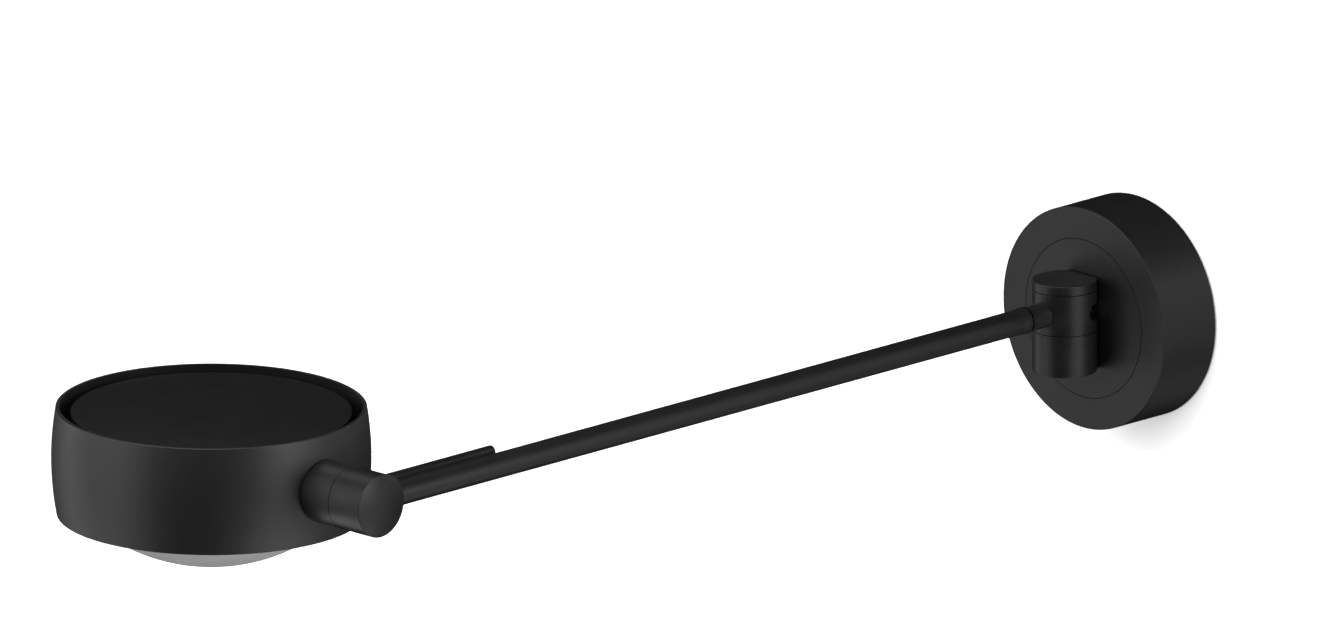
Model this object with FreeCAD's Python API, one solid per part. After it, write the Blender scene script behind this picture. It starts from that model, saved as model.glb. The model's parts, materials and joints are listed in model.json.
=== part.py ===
"""Wall-mounted swing-arm reading light: round rose, vertical hinge, straight arm that
rolls about its own axis, and a drum head with a domed lens that tilts on a cross joint.

Units are millimetres. The origin is the centre of the rose's back, on the wall plane
y = 0. The light reaches out along -Y and +Z is up. Every solid is drawn at rest.
"""
import FreeCAD, Part
import math
import os

Vector = FreeCAD.Vector
X = Vector(1, 0, 0)
Y = Vector(0, 1, 0)
Z = Vector(0, 0, 1)

# Fits
SEAM = 0.3            # open line between two turned parts that turn on each other
RUN = 0.05            # radial clearance of a shaft in its bush
SEAT = 0.02           # radial clearance of a part fixed in a hole
PASS = 0.1            # radial clearance of a screw or lead that only passes through
BREAK = 1.0           # how far a cutter reaches past the face that it opens

# Wall rose, a turned cup over a sheet steel bracket
ROSE_R = 44.0
ROSE_DEPTH = 27.9
ROSE_WALL = 2.5
ROSE_EDGE = 0.3
BRACKET_R = 40.8
BRACKET_T = 2.0
CABLE_OPENING_R = 11.0
SLOT_SPACING = 60.0
SLOT_WIDTH = 4.5
SLOT_LENGTH = 9.0
GRUB_ANGLES = (-110.0, -70.0)    # seen from the room, from +X towards +Z
GRUB_R = 2.0
GRUB_Y = -7.0
GRUB_HEAD = 43.3                 # from the rose's axis
GRUB_LENGTH = 7.4
GRUB_HOLE_R = 2.2                # in the cover
LUG_IN = 36.5                    # bracket's threaded lugs, from the rose's axis
LUG_OUT = 40.0
LUG_HALF = 4.0
LUG_FRONT_Y = -11.0
HOOK_HALF_X = 6.0                # bracket's top hook and the cover's catch behind it
HOOK_LOW_Z = 38.0
HOOK_T = 2.0
HOOK_FRONT_Y = -9.0
HOOK_LIP_Y = -7.6
HOOK_LIP = 0.9
CATCH_HALF_X = 5.0
CATCH_LOW_Z = 40.35
CATCH_FRONT_Y = -7.3
CATCH_BACK_Y = -5.2

# Inner disc that carries the hinge, flush in the front of the rose
DISC_R = 31.4
DISC_SEAM = 0.25         # open line round the disc
DISC_FLANGE_T = 3.0
DISC_HUB_R = 26.0
DISC_BACK_Y = -17.5
LEDGE_R = 26.4
LEDGE_T = 3.0
DISC_SCREW_PCR = 29.2
DISC_SCREW_R = 1.48
DISC_SCREW_END = 2.0             # screw length beyond the ledge
DISC_SCREW_HOLE_R = 1.6
DISC_SCREW_ANGLES = (45.0, 135.0, 225.0, 315.0)

# Driver, terminal block and leads inside the rose. Screw places are (x, z).
MODULE_SCREW_R = 1.5
MODULE_SCREWS = [(-26.5, -21.5), (26.5, -21.5), (0.0, 30.5)]
EARTH_SCREW = [(-24.0, 15.0)]
DRIVER_HALF_X = 22.0
DRIVER_LOW_Z = -31.5
DRIVER_TOP_Z = -11.5
DRIVER_FRONT_Y = -15.0
DRIVER_WALL = 1.5
EAR_T = 2.0                      # fixing ears of the driver case and the terminal block
DRIVER_EAR = 8.0
DRIVER_EAR_LOW_Z = -25.5
DRIVER_EAR_TOP_Z = -17.5
CIRCUIT_HALF_X = 19.5
CIRCUIT_LOW_Z = -29.0
CIRCUIT_TOP_Z = -14.5
CIRCUIT_BACK_Y = -3.0
CIRCUIT_FRONT_Y = -4.6
TRANSFORMER = (-6.0, 6.0, -13.0, -28.0, -16.5)      # x low, x high, front y, z low, z high
CHOKE = (9.0, 16.0, -10.0, -27.0, -19.0)
CAPACITOR_R = 2.8
CAPACITOR_H = 8.0
CAPACITOR_X = -13.0
CAPACITOR_Z = (-24.5, -18.0)
LEAD_OUT_X = 19.0
LEAD_OUT_Y = -12.3
LEAD_IN_X = 9.4
LEAD_IN_Y = -7.0
LEAD_IN_R = 1.0
LEAD_IN_HOLE_R = 1.4
LEAD_IN_BOW = 0.6
LEAD_IN_DEPTH = 6.0              # into the terminal block
LEAD_IN_CASE = 3.0               # into the driver case
LEAD_OUT_BEND = 4.0
TERMINAL_LOW_Z = 16.0
TERMINAL_TOP_Z = 27.0
TERMINAL_FRONT_Y = -12.5
TERMINAL_HALF_X = 14.0
TERMINAL_TONGUE_HALF_X = 4.5
TERMINAL_TONGUE_TOP_Z = 34.5
TERMINAL_BORE_R = 1.5
TERMINAL_BORE_DEPTH = 8.0
TERMINAL_SCREW_Z = 21.5
TERMINAL_SCREW_R = 1.8
TERMINAL_SCREW_DEPTH = 4.0
EARTH_WASHER_R = 3.6
EARTH_WASHER_T = 0.8
MODULE_SCREW_LENGTH = 4.0
EARTH_SCREW_LENGTH = 2.8

# Vertical hinge: fixed base, turning sleeve, fixed cap
HINGE_Y = -(ROSE_DEPTH + 10.3)
BARREL_R = 12.5
BASE_LOW = -18.6
BASE_TOP = -2.1
CAP_LOW = 14.4
CAP_TOP = 18.0
SPINDLE_R = 7.0
SPINDLE_BORE_R = 4.5
SPINDLE_LOW = -13.4
SPINDLE_TOP = 17.2
BASE_SINK = 2.5
BASE_SINK_R = 4.0
BASE_EDGE = 0.5
SPINDLE_SCREW_R = 2.0
SPINDLE_SCREW_LENGTH = 8.0
SPINDLE_SCREW_HOLE_R = 2.1
SPINDLE_THREAD = 6.4             # depth of the threaded hole in the spindle
SPINDLE_BORE_LOW = -5.5
SPINDLE_WINDOW_HALF = 3.5
SPINDLE_WINDOW = (-190.0, 10.0)  # angles from +X
BASE_SCREW_X = 4.5
BASE_SCREW_Z = -10.0
BASE_SCREW_SINK = 3.0
BASE_SCREW_R = 1.5
BASE_SCREW_LENGTH = 10.2
THRUST_WASHER_T = 0.85
THRUST_WASHER_R = 10.3
BUSH_PLAY = 0.1             # between the lower bush and the thrust washer
BUSH_R = 8.5
LOWER_BUSH_TOP = 1.9
UPPER_BUSH_LOW = 10.4
UPPER_BUSH_TOP = 12.5
UPPER_FLANGE_R = 10.2
SLEEVE_RECESS_R = 10.5
SLEEVE_RECESS = 0.6              # depth at the lower end
SLEEVE_RECESS_TOP = 12.0         # floor of the upper recess
SPRING_R = 9.8
SPRING_LOW = 12.55
SPRING_T = 0.3
SPRING_CONE = 0.25
NUT_LOW = 13.15
NUT_T = 1.95
NUT_R = 9.6
NUT_SLOT_HALF = 0.9
NUT_SLOT_FLOOR = 14.0
CAP_EDGE = 0.3
CAP_RECESS_R = 9.9
CAP_RECESS = 0.8
CAP_BORE = 2.85
ARM_Z = 5.7
SLEEVE_SLOT_HALF = 68.5          # centre angle of each end of the slot, from the wall
SLEEVE_SLOT_R = 3.25
NIPPLE_R = 2.6
NIPPLE_BORE_R = 1.8
NIPPLE_BACK = 0.5                # behind the inner disc
NIPPLE_IN = 4.9                  # its front end, from the hinge axis

# Arm. Distances along it are measured from the hinge axis, away from the wall.
LEAD_R = 1.3
STUB_R = 4.85
STUB_SPIGOT_R = 4.0
STUB_SHOULDER = 11.05
STUB_SPIGOT_START = 8.7
STUB_END = 21.0
JOURNAL_R = 2.8
JOURNAL_END = 45.4
CLIP_GROOVE = 1.3             # from the journal's end
CLIP_GROOVE_W = 0.8
CLIP_GROOVE_R = 2.3
CLIP_R = 3.6
CLIP_BORE_R = 2.32
CLIP_T = 0.7
CLIP_GAP_HALF = 1.3
STUB_BORE_R = 1.9
FLANGE_R = 5.3
FLANGE_T = 0.6
COLLAR_START = 22.4
COLLAR_R = 5.35
COLLAR_END = 26.4
COLLAR_EDGE = 0.15
COLLAR_SPIGOT_END = 43.8
ROLL_BUSH_GAP = 0.1
ROLL_BUSH_R = 3.32
ROLL_RECESS_R = 4.75
ROLL_RECESS_END = 24.7
ROLL_RECESS_HALF = 102.0
ROLL_PIN_R = 0.55
ROLL_PIN_START = 18.7
ROLL_PIN_LENGTH = 5.3
ROLL_PIN_HOLE = 3.0
STUB_LEAD_START = 1.6
LEAD_GAP = 0.6               # between the lead's lengths either side of a joint
ARM_LEAD_START = 46.5
ARM_LEAD_BEND = 6.0
ROLL_PIN_PCR = 4.1
TUBE_R = 5.0
TUBE_BORE_R = 4.0
ARM_LENGTH = 381.6

# Cross joint at the arm's end, on a horizontal axis through the head's centre
TILT_Y = HINGE_Y - ARM_LENGTH
HOUSING_OUT_X = 8.4
HOUSING_DOME = 1.8          # height of the housing's domed end
HOUSING_EDGE = 0.2
HOUSING_IN_X = -7.9
JOINT_COLLAR_X = -8.15
COLLAR_REBATE = 0.35        # open line between the collar's rim and the drum
COLLAR_REBATE_IN = 0.8
TILT_SPINDLE_R = 5.0
TILT_BORE_R = 3.2
SPINDLE_END_X = -35.6
SPINDLE_TAIL_X = 5.5
SHOULDER_R = 6.6
SHOULDER_START = -7.2
SHOULDER_T = 1.2
RECESS_X = -6.0
RECESS_R = 6.8
TILT_BORE_END = 2.6          # inner end of the spindle's bore
LEAD_SLOT_X = (-1.2, 0.2)    # slot in the spindle that the lead comes in through
LEAD_SLOT_R = 1.6
LEAD_SLOT_END = 8.0
HOUSING_CABLE_R = 2.2
HOUSING_CABLE_START = 4.0
JOINT_GRUB_R = 1.5
JOINT_GRUBS = ((0.0, 6.0), (9.6, 3.0))      # distance from the tilt axis, and length
TILT_WASHER_X = -8.1
TILT_WASHER_T = 0.85
TILT_SPRINGS = ((-29.9, 0.3), (-30.55, -0.3))   # place, and which way each one is coned
TILT_SPRING_R = 6.8
TILT_SPRING_T = 0.3
TILT_NUT_X = -34.4
TILT_NUT_T = 3.4
TILT_NUT_R = 6.93
TILT_BUSH_R = 6.2
TILT_BUSH_START = -22.3
TILT_BUSH_END = -8.5
TUBE_SOCKET = 6.8                # how near the tube's end comes to the tilt axis
STOP_PCR = 8.3
STOP_PIN_R = 0.9
STOP_PIN_X = -10.0
STOP_PIN_LENGTH = 5.5
STOP_GROOVE_W = 2.4
STOP_GROOVE_HALF = 169.5
STOP_GROOVE_X = -10.4
LEVER_X = -16.1
LEVER_R = 2.4
LEVER_END = 85.0
LEVER_START = 11.0
LEVER_TIP = 0.6
LEVER_SPIGOT_R = 1.5
LEVER_SPIGOT_START = 7.6
JOINT_SCREW_PCR = 9.4
JOINT_SCREW_R = 1.25
JOINT_SCREW_ANGLES = (90.0, 210.0, 330.0)
JOINT_SCREW_LENGTH = 15.0
JOINT_SCREW_END = -13.2      # end of its threaded hole
SPINDLE_PASS = 0.4           # radial gap round the spindle in the shell and block
BLOCK_X = -28.4
BLOCK_R = 12.0
BLOCK_LENGTH = 8.0
FRICTION_WASHER_R = 6.9
FRICTION_WASHER_T = 0.8

# Head. Heights are measured from its middle, radii from its vertical axis.
HEAD_X = -84.3
HEAD_CENTRE = Vector(HEAD_X, TILT_Y, ARM_Z)
HEAD_R = 61.9
HEAD_TOP_R = 60.2
HEAD_BOTTOM_R = 59.8
HEAD_HALF = 21.4
HEAD_EDGE = 0.35
SHELL_WALL = 1.8
RIM_WALL = 1.5
SEAT_TOP = -17.4
SEAT_LOW_R = 48.35            # one millimetre below the head's bottom
SEAT_TOP_R = 53.6
INNER_LOW_R = 58.2
LENS_SPHERE_R = 73.2
LENS_CENTRE = 32.8
LENS_T = 3.0
LENS_R = 53.5
LENS_TOP = -15.2
SEAL_T = 0.8
SEAL_IN_R = 51.0
CLAMP_TOP = -12.4
CLAMP_T = 2.0
CLAMP_IN_R = 47.5
CLAMP_OUT_R = 57.9
CLAMP_SCREW_PCR = 56.0
CLAMP_SCREWS = 6
CLAMP_SCREW_R = 1.0
CLAMP_SCREW_LENGTH = 7.8
CLAMP_SCREW_DEPTH = 3.0          # into the shell's bottom flange
CLAMP_STEP_R = 54.2
REFLECTOR_TOP = 2.2
REFLECTOR_T = 1.0
REFLECTOR_NECK_R = 10.0
REFLECTOR_MOUTH_R = 45.5
REFLECTOR_RIM_R = 48.8
REFLECTOR_RIM_T = 0.8
BOARD_LOW = 5.0
BOARD_R = 21.0
BOARD_T = 1.6
CHIP_R = 9.0
CHIP_T = 0.9
HOLDER_R = 19.0
HOLDER_GAP = 0.3
HOLDER_RECESS_R = 13.0
HOLDER_RECESS = 0.9
SINK_LOW = 6.7
SINK_BASE_T = 3.2
SINK_R = 42.0
SINK_TOP = 16.4
FINS = 24
FIN_T = 1.2
CORE_R = 13.0
EAR_ANGLES = (60.0, 180.0, 300.0)
EAR_END_R = 56.5
EAR_HALF = 6.0
PILLAR_PCR = 52.0
PILLAR_R = 3.0
PILLAR_SCREW_R = 1.5
PILLAR_SCREW_LENGTH = 9.0
PILLAR_THREAD = 7.0
POST_PCR = 44.5
POST_R = 2.5
POST_STUD_R = 1.25
POST_SINK = 0.8              # into the top disc
TOP_DISC_R = 54.4
TOP_DISC_TOP = 19.5
TOP_DISC_T = 2.0
TOP_DISC_EDGE = 0.4
HEAD_LEAD = ((48.0, 0.0), (34.0, 0.0), (27.0, 3.65), (19.4, 3.65))     # radius and height
HEAD_LEAD_BEND = 9.0


def rod(start, direction, length, radius):
    """Solid cylinder from start."""
    return Part.makeCylinder(radius, length, start, direction)


def tube(start, direction, length, outer, inner):
    """Hollow cylinder from start."""
    return rod(start, direction, length, outer).cut(rod(start, direction, length, inner))


def box(low, high):
    """Box between two corners."""
    size = high - low
    return Part.makeBox(size.x, size.y, size.z, low)


def fused(first, *others):
    """One solid out of several that touch."""
    return first.multiFuse(list(others)).removeSplitter()


def polar(radius, degrees, height=0.0):
    """Point at a radius and angle about Z."""
    angle = math.radians(degrees)
    return Vector(radius * math.cos(angle), radius * math.sin(angle), height)


def on_wall(radius, degrees, y):
    """Point at a radius and angle about the rose's axis, seen from the room."""
    flat = polar(radius, degrees)
    return Vector(flat.x, y, flat.y)


def about_tilt(radius, degrees, x):
    """Point at a radius and angle about the tilt axis, from +Y towards +Z."""
    flat = polar(radius, degrees)
    return Vector(x, TILT_Y + flat.x, ARM_Z + flat.y)


def along_arm(distance, side=0.0, up=0.0):
    """Point at a distance from the hinge axis along the arm."""
    return Vector(side, HINGE_Y - distance, ARM_Z + up)


def in_head(radius, degrees, height):
    """Point inside the head."""
    return HEAD_CENTRE + polar(radius, degrees, height)


def turned(points, centre):
    """Body of revolution about a vertical axis, from (radius, height) points. A point given
    with three values starts an arc, and its third value is the (radius, height) midway."""
    corners = [Vector(p[0], 0, p[1]) for p in points]
    edges = []
    for index, point in enumerate(points):
        start = corners[index]
        end = corners[(index + 1) % len(points)]
        if len(point) == 3:
            middle = Vector(point[2][0], 0, point[2][1])
            edges.append(Part.Arc(start, middle, end).toShape())
        else:
            edges.append(Part.LineSegment(start, end).toShape())
    face = Part.Face(Part.Wire(edges))
    body = face.revolve(Vector(0, 0, 0), Z, 360)
    body.translate(centre)
    return body


def sector(inner, outer, low, high, first, last):
    """Part of a ring about Z, between two heights and two angles in degrees."""
    outline = [(inner, low), (outer, low), (outer, high), (inner, high)]
    corners = [Vector(r, 0, h) for r, h in outline]
    face = Part.Face(Part.makePolygon(corners + corners[:1]))
    body = face.revolve(Vector(0, 0, 0), Z, last - first)
    body.rotate(Vector(0, 0, 0), Z, first)
    return body


def rounded(body, radius, wanted):
    """Fillets the edges that the test picks out."""
    return body.makeFillet(radius, [edge for edge in body.Edges if wanted(edge)])


def is_circle(edge, radius, axis, place):
    """True for a circular edge of a radius whose centre is at a place along an axis."""
    curve = edge.Curve
    if not isinstance(curve, Part.Circle) or abs(curve.Radius - radius) > 0.01:
        return False
    return abs(curve.Center.dot(axis) - place) < 0.01


def lead(points, bend):
    """Round insulated lead through the points, with a tangent arc at each corner."""
    edges = []
    start = points[0]
    for before, corner, after in zip(points, points[1:], points[2:]):
        inward = (before - corner).normalize()
        outward = (after - corner).normalize()
        half_turn = (math.pi - inward.getAngle(outward)) / 2
        cut = bend * math.tan(half_turn)
        middle = (inward + outward).normalize() * (bend / math.cos(half_turn) - bend)
        edges.append(Part.LineSegment(start, corner + inward * cut).toShape())
        arc = Part.Arc(corner + inward * cut, corner + middle, corner + outward * cut)
        edges.append(arc.toShape())
        start = corner + outward * cut
    edges.append(Part.LineSegment(start, points[-1]).toShape())
    path = Part.Wire(edges)
    heading = (points[1] - points[0]).normalize()
    section = Part.Wire([Part.Circle(points[0], heading, LEAD_R).toShape()])
    body = Part.Solid(path.makePipeShell([section], True, True))
    print("lead", round(path.Length, 1), "volume ratio",
          round(body.Volume / (path.Length * math.pi * LEAD_R ** 2), 3))
    return body


def pan_screw(seat, direction, shank_r, length):
    """Screw with a low round head and a cross slot. The head sits behind the seat."""
    head_r = 1.8 * shank_r
    head_t = 1.2 * shank_r
    shank = rod(seat, direction, length, shank_r)
    head = rod(seat - direction * head_t, direction, head_t, head_r)
    body = fused(shank, head)
    slot_t = 0.4 * shank_r
    side = direction.cross(Z if abs(direction.z) < 0.5 else X).normalize()
    for along in (side, direction.cross(side)):
        across = direction.cross(along)
        corner = seat - direction * head_t - along * shank_r - across * (slot_t / 2)
        cutter = Part.makeBox(1, 1, 1)
        matrix = FreeCAD.Matrix(along.x * 2 * shank_r, across.x * slot_t, direction.x * slot_t, corner.x,
                                along.y * 2 * shank_r, across.y * slot_t, direction.y * slot_t, corner.y,
                                along.z * 2 * shank_r, across.z * slot_t, direction.z * slot_t, corner.z)
        body = body.cut(cutter.transformGeometry(matrix))
    return body


def grub_screw(start, direction, length, radius):
    """Headless screw with a hexagon socket at its start."""
    socket = hexagon(start, direction, 0.4 * length, 0.55 * radius)
    return rod(start, direction, length, radius).cut(socket)


def hexagon(start, direction, length, radius):
    """Six-sided bar with a radius across its corners."""
    flat = [polar(radius, 60.0 * k) for k in range(7)]
    bar = Part.Face(Part.makePolygon(flat)).extrude(Z * length)
    bar.Placement = FreeCAD.Placement(start, FreeCAD.Rotation(Z, direction))
    return bar


# ---------------------------------------------------------------- wall rose

def wall_bracket():
    """Sheet steel plate with slots, a cable opening, a top hook and two threaded lugs."""
    plate = rod(Vector(0, 0, 0), -Y, BRACKET_T, BRACKET_R)
    hook_top = HOOK_LOW_Z + HOOK_T
    hook = box(Vector(-HOOK_HALF_X, HOOK_FRONT_Y, HOOK_LOW_Z), Vector(HOOK_HALF_X, -BRACKET_T, hook_top))
    lip = box(Vector(-HOOK_HALF_X, HOOK_FRONT_Y, hook_top),
              Vector(HOOK_HALF_X, HOOK_LIP_Y, hook_top + HOOK_LIP))
    lugs = []
    for angle in GRUB_ANGLES:
        lug = box(Vector(LUG_IN, LUG_FRONT_Y, -LUG_HALF), Vector(LUG_OUT, -BRACKET_T, LUG_HALF))
        lug.rotate(Vector(0, 0, 0), Y, -angle)
        lugs.append(lug)
    body = fused(plate, hook, lip, *lugs)
    for angle in GRUB_ANGLES:
        body = body.cut(rod(on_wall(LUG_IN - BREAK, angle, GRUB_Y), on_wall(1, angle, 0),
                            LUG_OUT - LUG_IN + 2 * BREAK, GRUB_R + SEAT))
    body = body.cut(rod(Y * BREAK, -Y, BRACKET_T + 2 * BREAK, CABLE_OPENING_R))
    for side in (-1, 1):
        middle = side * SLOT_SPACING / 2
        half = (SLOT_LENGTH - SLOT_WIDTH) / 2
        slot = box(Vector(middle - half, -BRACKET_T - BREAK, -SLOT_WIDTH / 2),
                   Vector(middle + half, BREAK, SLOT_WIDTH / 2))
        body = body.cut(slot)
        for end in (middle - half, middle + half):
            body = body.cut(rod(Vector(end, BREAK, 0), -Y, BRACKET_T + 2 * BREAK, SLOT_WIDTH / 2))
    for place in MODULE_SCREWS + EARTH_SCREW:
        body = body.cut(rod(Vector(place[0], BREAK, place[1]), -Y, BRACKET_T + 2 * BREAK,
                            MODULE_SCREW_R + SEAT))
    return body


def rose_cover():
    """Turned cup with a stepped front opening, a catch for the hook and two screw holes."""
    body = rod(Vector(0, 0, 0), -Y, ROSE_DEPTH, ROSE_R)
    body = rounded(body, ROSE_EDGE, lambda e: is_circle(e, ROSE_R, Y, -ROSE_DEPTH))
    front_back = -ROSE_DEPTH + DISC_FLANGE_T + LEDGE_T
    body = body.cut(rod(Y * BREAK, -Y, BREAK - front_back, ROSE_R - ROSE_WALL))
    body = body.cut(rod(Vector(0, 0, 0), -Y, ROSE_DEPTH + BREAK, LEDGE_R))
    recess_back = Vector(0, -ROSE_DEPTH + DISC_FLANGE_T, 0)
    body = body.cut(rod(recess_back, -Y, DISC_FLANGE_T + BREAK, DISC_R + DISC_SEAM))
    catch = box(Vector(-CATCH_HALF_X, CATCH_FRONT_Y, CATCH_LOW_Z),
                Vector(CATCH_HALF_X, CATCH_BACK_Y, ROSE_R - ROSE_WALL / 2))
    body = fused(body, catch)
    for angle in GRUB_ANGLES:
        body = body.cut(rod(on_wall(LUG_OUT + BREAK, angle, GRUB_Y), on_wall(1, angle, 0), ROSE_R - LUG_OUT,
                            GRUB_HOLE_R))
    for angle in DISC_SCREW_ANGLES:
        body = body.cut(rod(on_wall(DISC_SCREW_PCR, angle, front_back + BREAK), -Y, LEDGE_T + BREAK,
                            DISC_SCREW_HOLE_R))
    return body


def hinge_plate():
    """Inner disc with a hub behind it and a pocket in front that the hinge barrel sits in."""
    front = Vector(0, -ROSE_DEPTH, 0)
    disc = rod(front, Y, DISC_FLANGE_T, DISC_R)
    hub = rod(front + Y * DISC_FLANGE_T, Y, DISC_BACK_Y + ROSE_DEPTH - DISC_FLANGE_T, DISC_HUB_R)
    body = fused(disc, hub)
    body = body.cut(rod(Vector(0, HINGE_Y, BASE_LOW), Z, BASE_TOP - BASE_LOW, BARREL_R + SEAT))
    upper = CAP_TOP + SEAM - BASE_TOP
    body = body.cut(rod(Vector(0, HINGE_Y, BASE_TOP), Z, upper, BARREL_R + SEAM))
    body = body.cut(rod(Vector(0, DISC_BACK_Y + BREAK, ARM_Z), -Y, DISC_BACK_Y - HINGE_Y, NIPPLE_R + SEAT))
    for angle in DISC_SCREW_ANGLES:
        start = on_wall(DISC_SCREW_PCR, angle, -ROSE_DEPTH + DISC_FLANGE_T)
        body = body.cut(rod(start, -Y, DISC_SCREW_END + 2 * PASS, DISC_SCREW_R + SEAT))
    for side in (-1, 1):
        centre = Vector(side * BASE_SCREW_X, DISC_BACK_Y, BASE_SCREW_Z)
        body = body.cut(rod(centre + Y * BREAK, -Y, BASE_SCREW_SINK + BREAK, 2 * BASE_SCREW_R))
        body = body.cut(rod(centre, -Y, BASE_SCREW_SINK + BASE_SCREW_LENGTH, BASE_SCREW_R + PASS))
    return body


def cover_set_screws():
    """Two grub screws that hold the cover to the bracket's lugs from below."""
    screws = []
    for angle in GRUB_ANGLES:
        screws.append(grub_screw(on_wall(GRUB_HEAD, angle, GRUB_Y), -on_wall(1, angle, 0), GRUB_LENGTH,
                                 GRUB_R))
    return Part.makeCompound(screws)


def hinge_plate_screws():
    """Four screws that hold the inner disc against the rose's ledge, from behind."""
    seat_y = -ROSE_DEPTH + DISC_FLANGE_T + LEDGE_T
    return Part.makeCompound([
        pan_screw(on_wall(DISC_SCREW_PCR, angle, seat_y), -Y, DISC_SCREW_R, LEDGE_T + DISC_SCREW_END)
        for angle in DISC_SCREW_ANGLES])


# ---------------------------------------------------------------- driver and wiring

def driver_case():
    """Open-backed insulating case for the driver, with two fixing ears."""
    body = box(Vector(-DRIVER_HALF_X, DRIVER_FRONT_Y, DRIVER_LOW_Z),
               Vector(DRIVER_HALF_X, -BRACKET_T, DRIVER_TOP_Z))
    ears = []
    for side in (-1, 1):
        ends = sorted((side * (DRIVER_HALF_X - BREAK), side * (DRIVER_HALF_X + DRIVER_EAR)))
        ears.append(box(Vector(ends[0], -BRACKET_T - EAR_T, DRIVER_EAR_LOW_Z),
                        Vector(ends[1], -BRACKET_T, DRIVER_EAR_TOP_Z)))
    body = fused(body, *ears)
    body = body.cut(box(Vector(DRIVER_WALL - DRIVER_HALF_X, DRIVER_FRONT_Y + DRIVER_WALL,
                               DRIVER_LOW_Z + DRIVER_WALL),
                        Vector(DRIVER_HALF_X - DRIVER_WALL, 0, DRIVER_TOP_Z - DRIVER_WALL)))
    for x, z in MODULE_SCREWS[:2]:
        body = body.cut(rod(Vector(x, 0, z), -Y, BRACKET_T + EAR_T + BREAK, MODULE_SCREW_R + PASS))
    body = body.cut(rod(Vector(LEAD_OUT_X, LEAD_OUT_Y, DRIVER_TOP_Z - LEAD_IN_CASE), Z,
                        LEAD_IN_CASE + BREAK, LEAD_R + PASS))
    for side in (-1, 1):
        hole = Vector(side * LEAD_IN_X, LEAD_IN_Y, DRIVER_TOP_Z - LEAD_IN_CASE)
        body = body.cut(rod(hole, Z, LEAD_IN_CASE + BREAK, LEAD_IN_HOLE_R))
    return body


def driver_board():
    """Circuit board with its transformer, capacitors and choke."""
    board = box(Vector(-CIRCUIT_HALF_X, CIRCUIT_FRONT_Y, CIRCUIT_LOW_Z),
                Vector(CIRCUIT_HALF_X, CIRCUIT_BACK_Y, CIRCUIT_TOP_Z))
    parts = []
    for low_x, high_x, front_y, low_z, high_z in (TRANSFORMER, CHOKE):
        parts.append(box(Vector(low_x, front_y, low_z), Vector(high_x, CIRCUIT_FRONT_Y, high_z)))
    for z in CAPACITOR_Z:
        parts.append(rod(Vector(CAPACITOR_X, CIRCUIT_FRONT_Y, z), -Y, CAPACITOR_H, CAPACITOR_R))
    return fused(board, *parts)


def terminal_block():
    """Three-pole terminal block on the bracket."""
    body = box(Vector(-TERMINAL_HALF_X, TERMINAL_FRONT_Y, TERMINAL_LOW_Z),
               Vector(TERMINAL_HALF_X, -BRACKET_T, TERMINAL_TOP_Z))
    tongue = box(Vector(-TERMINAL_TONGUE_HALF_X, -BRACKET_T - EAR_T, TERMINAL_TOP_Z),
                 Vector(TERMINAL_TONGUE_HALF_X, -BRACKET_T, TERMINAL_TONGUE_TOP_Z))
    body = fused(body, tongue)
    for x in (-LEAD_IN_X, 0.0, LEAD_IN_X):
        body = body.cut(rod(Vector(x, LEAD_IN_Y, TERMINAL_LOW_Z - BREAK), Z, TERMINAL_BORE_DEPTH + BREAK,
                            TERMINAL_BORE_R))
        body = body.cut(rod(Vector(x, TERMINAL_FRONT_Y - BREAK, TERMINAL_SCREW_Z), Y,
                            TERMINAL_SCREW_DEPTH + BREAK, TERMINAL_SCREW_R))
    return body.cut(rod(Vector(0, 0, MODULE_SCREWS[2][1]), -Y, BRACKET_T + EAR_T + BREAK,
                        MODULE_SCREW_R + PASS))


def module_screws():
    """Three screws that hold the driver and the terminal block to the bracket."""
    return Part.makeCompound([
        pan_screw(Vector(x, -BRACKET_T - EAR_T, z), Y, MODULE_SCREW_R, MODULE_SCREW_LENGTH)
        for x, z in MODULE_SCREWS])


def earth_screw():
    """Earthing screw with its cupped washer."""
    x, z = EARTH_SCREW[0]
    seat = Vector(x, -BRACKET_T - EARTH_WASHER_T, z)
    washer = rod(seat, Y, EARTH_WASHER_T, EARTH_WASHER_R)
    return fused(pan_screw(seat, Y, MODULE_SCREW_R, EARTH_SCREW_LENGTH), washer)


def input_leads():
    """Two mains leads that bow a little between the terminal block and the driver."""
    leads = []
    for side in (-1, 1):
        top = Vector(side * LEAD_IN_X, LEAD_IN_Y, TERMINAL_LOW_Z + LEAD_IN_DEPTH)
        low = Vector(side * LEAD_IN_X, LEAD_IN_Y, DRIVER_TOP_Z - LEAD_IN_CASE)
        middle = Vector(side * (LEAD_IN_X + LEAD_IN_BOW), LEAD_IN_Y, (top.z + low.z) / 2)
        path = Part.Wire([Part.Arc(top, middle, low).toShape()])
        heading = path.Edges[0].tangentAt(path.Edges[0].FirstParameter)
        section = Part.Wire([Part.Circle(top, heading, LEAD_IN_R).toShape()])
        leads.append(Part.Solid(path.makePipeShell([section], True, True)))
    return Part.makeCompound(leads)


def output_lead():
    """Low voltage lead from the driver, through the nipple, to the hinge axis."""
    return lead([Vector(0, HINGE_Y + STUB_LEAD_START, ARM_Z),
                 Vector(0, LEAD_OUT_Y, ARM_Z),
                 Vector(LEAD_OUT_X, LEAD_OUT_Y, ARM_Z),
                 Vector(LEAD_OUT_X, LEAD_OUT_Y, DRIVER_TOP_Z - LEAD_IN_CASE)], LEAD_OUT_BEND)


# ---------------------------------------------------------------- vertical hinge

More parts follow.
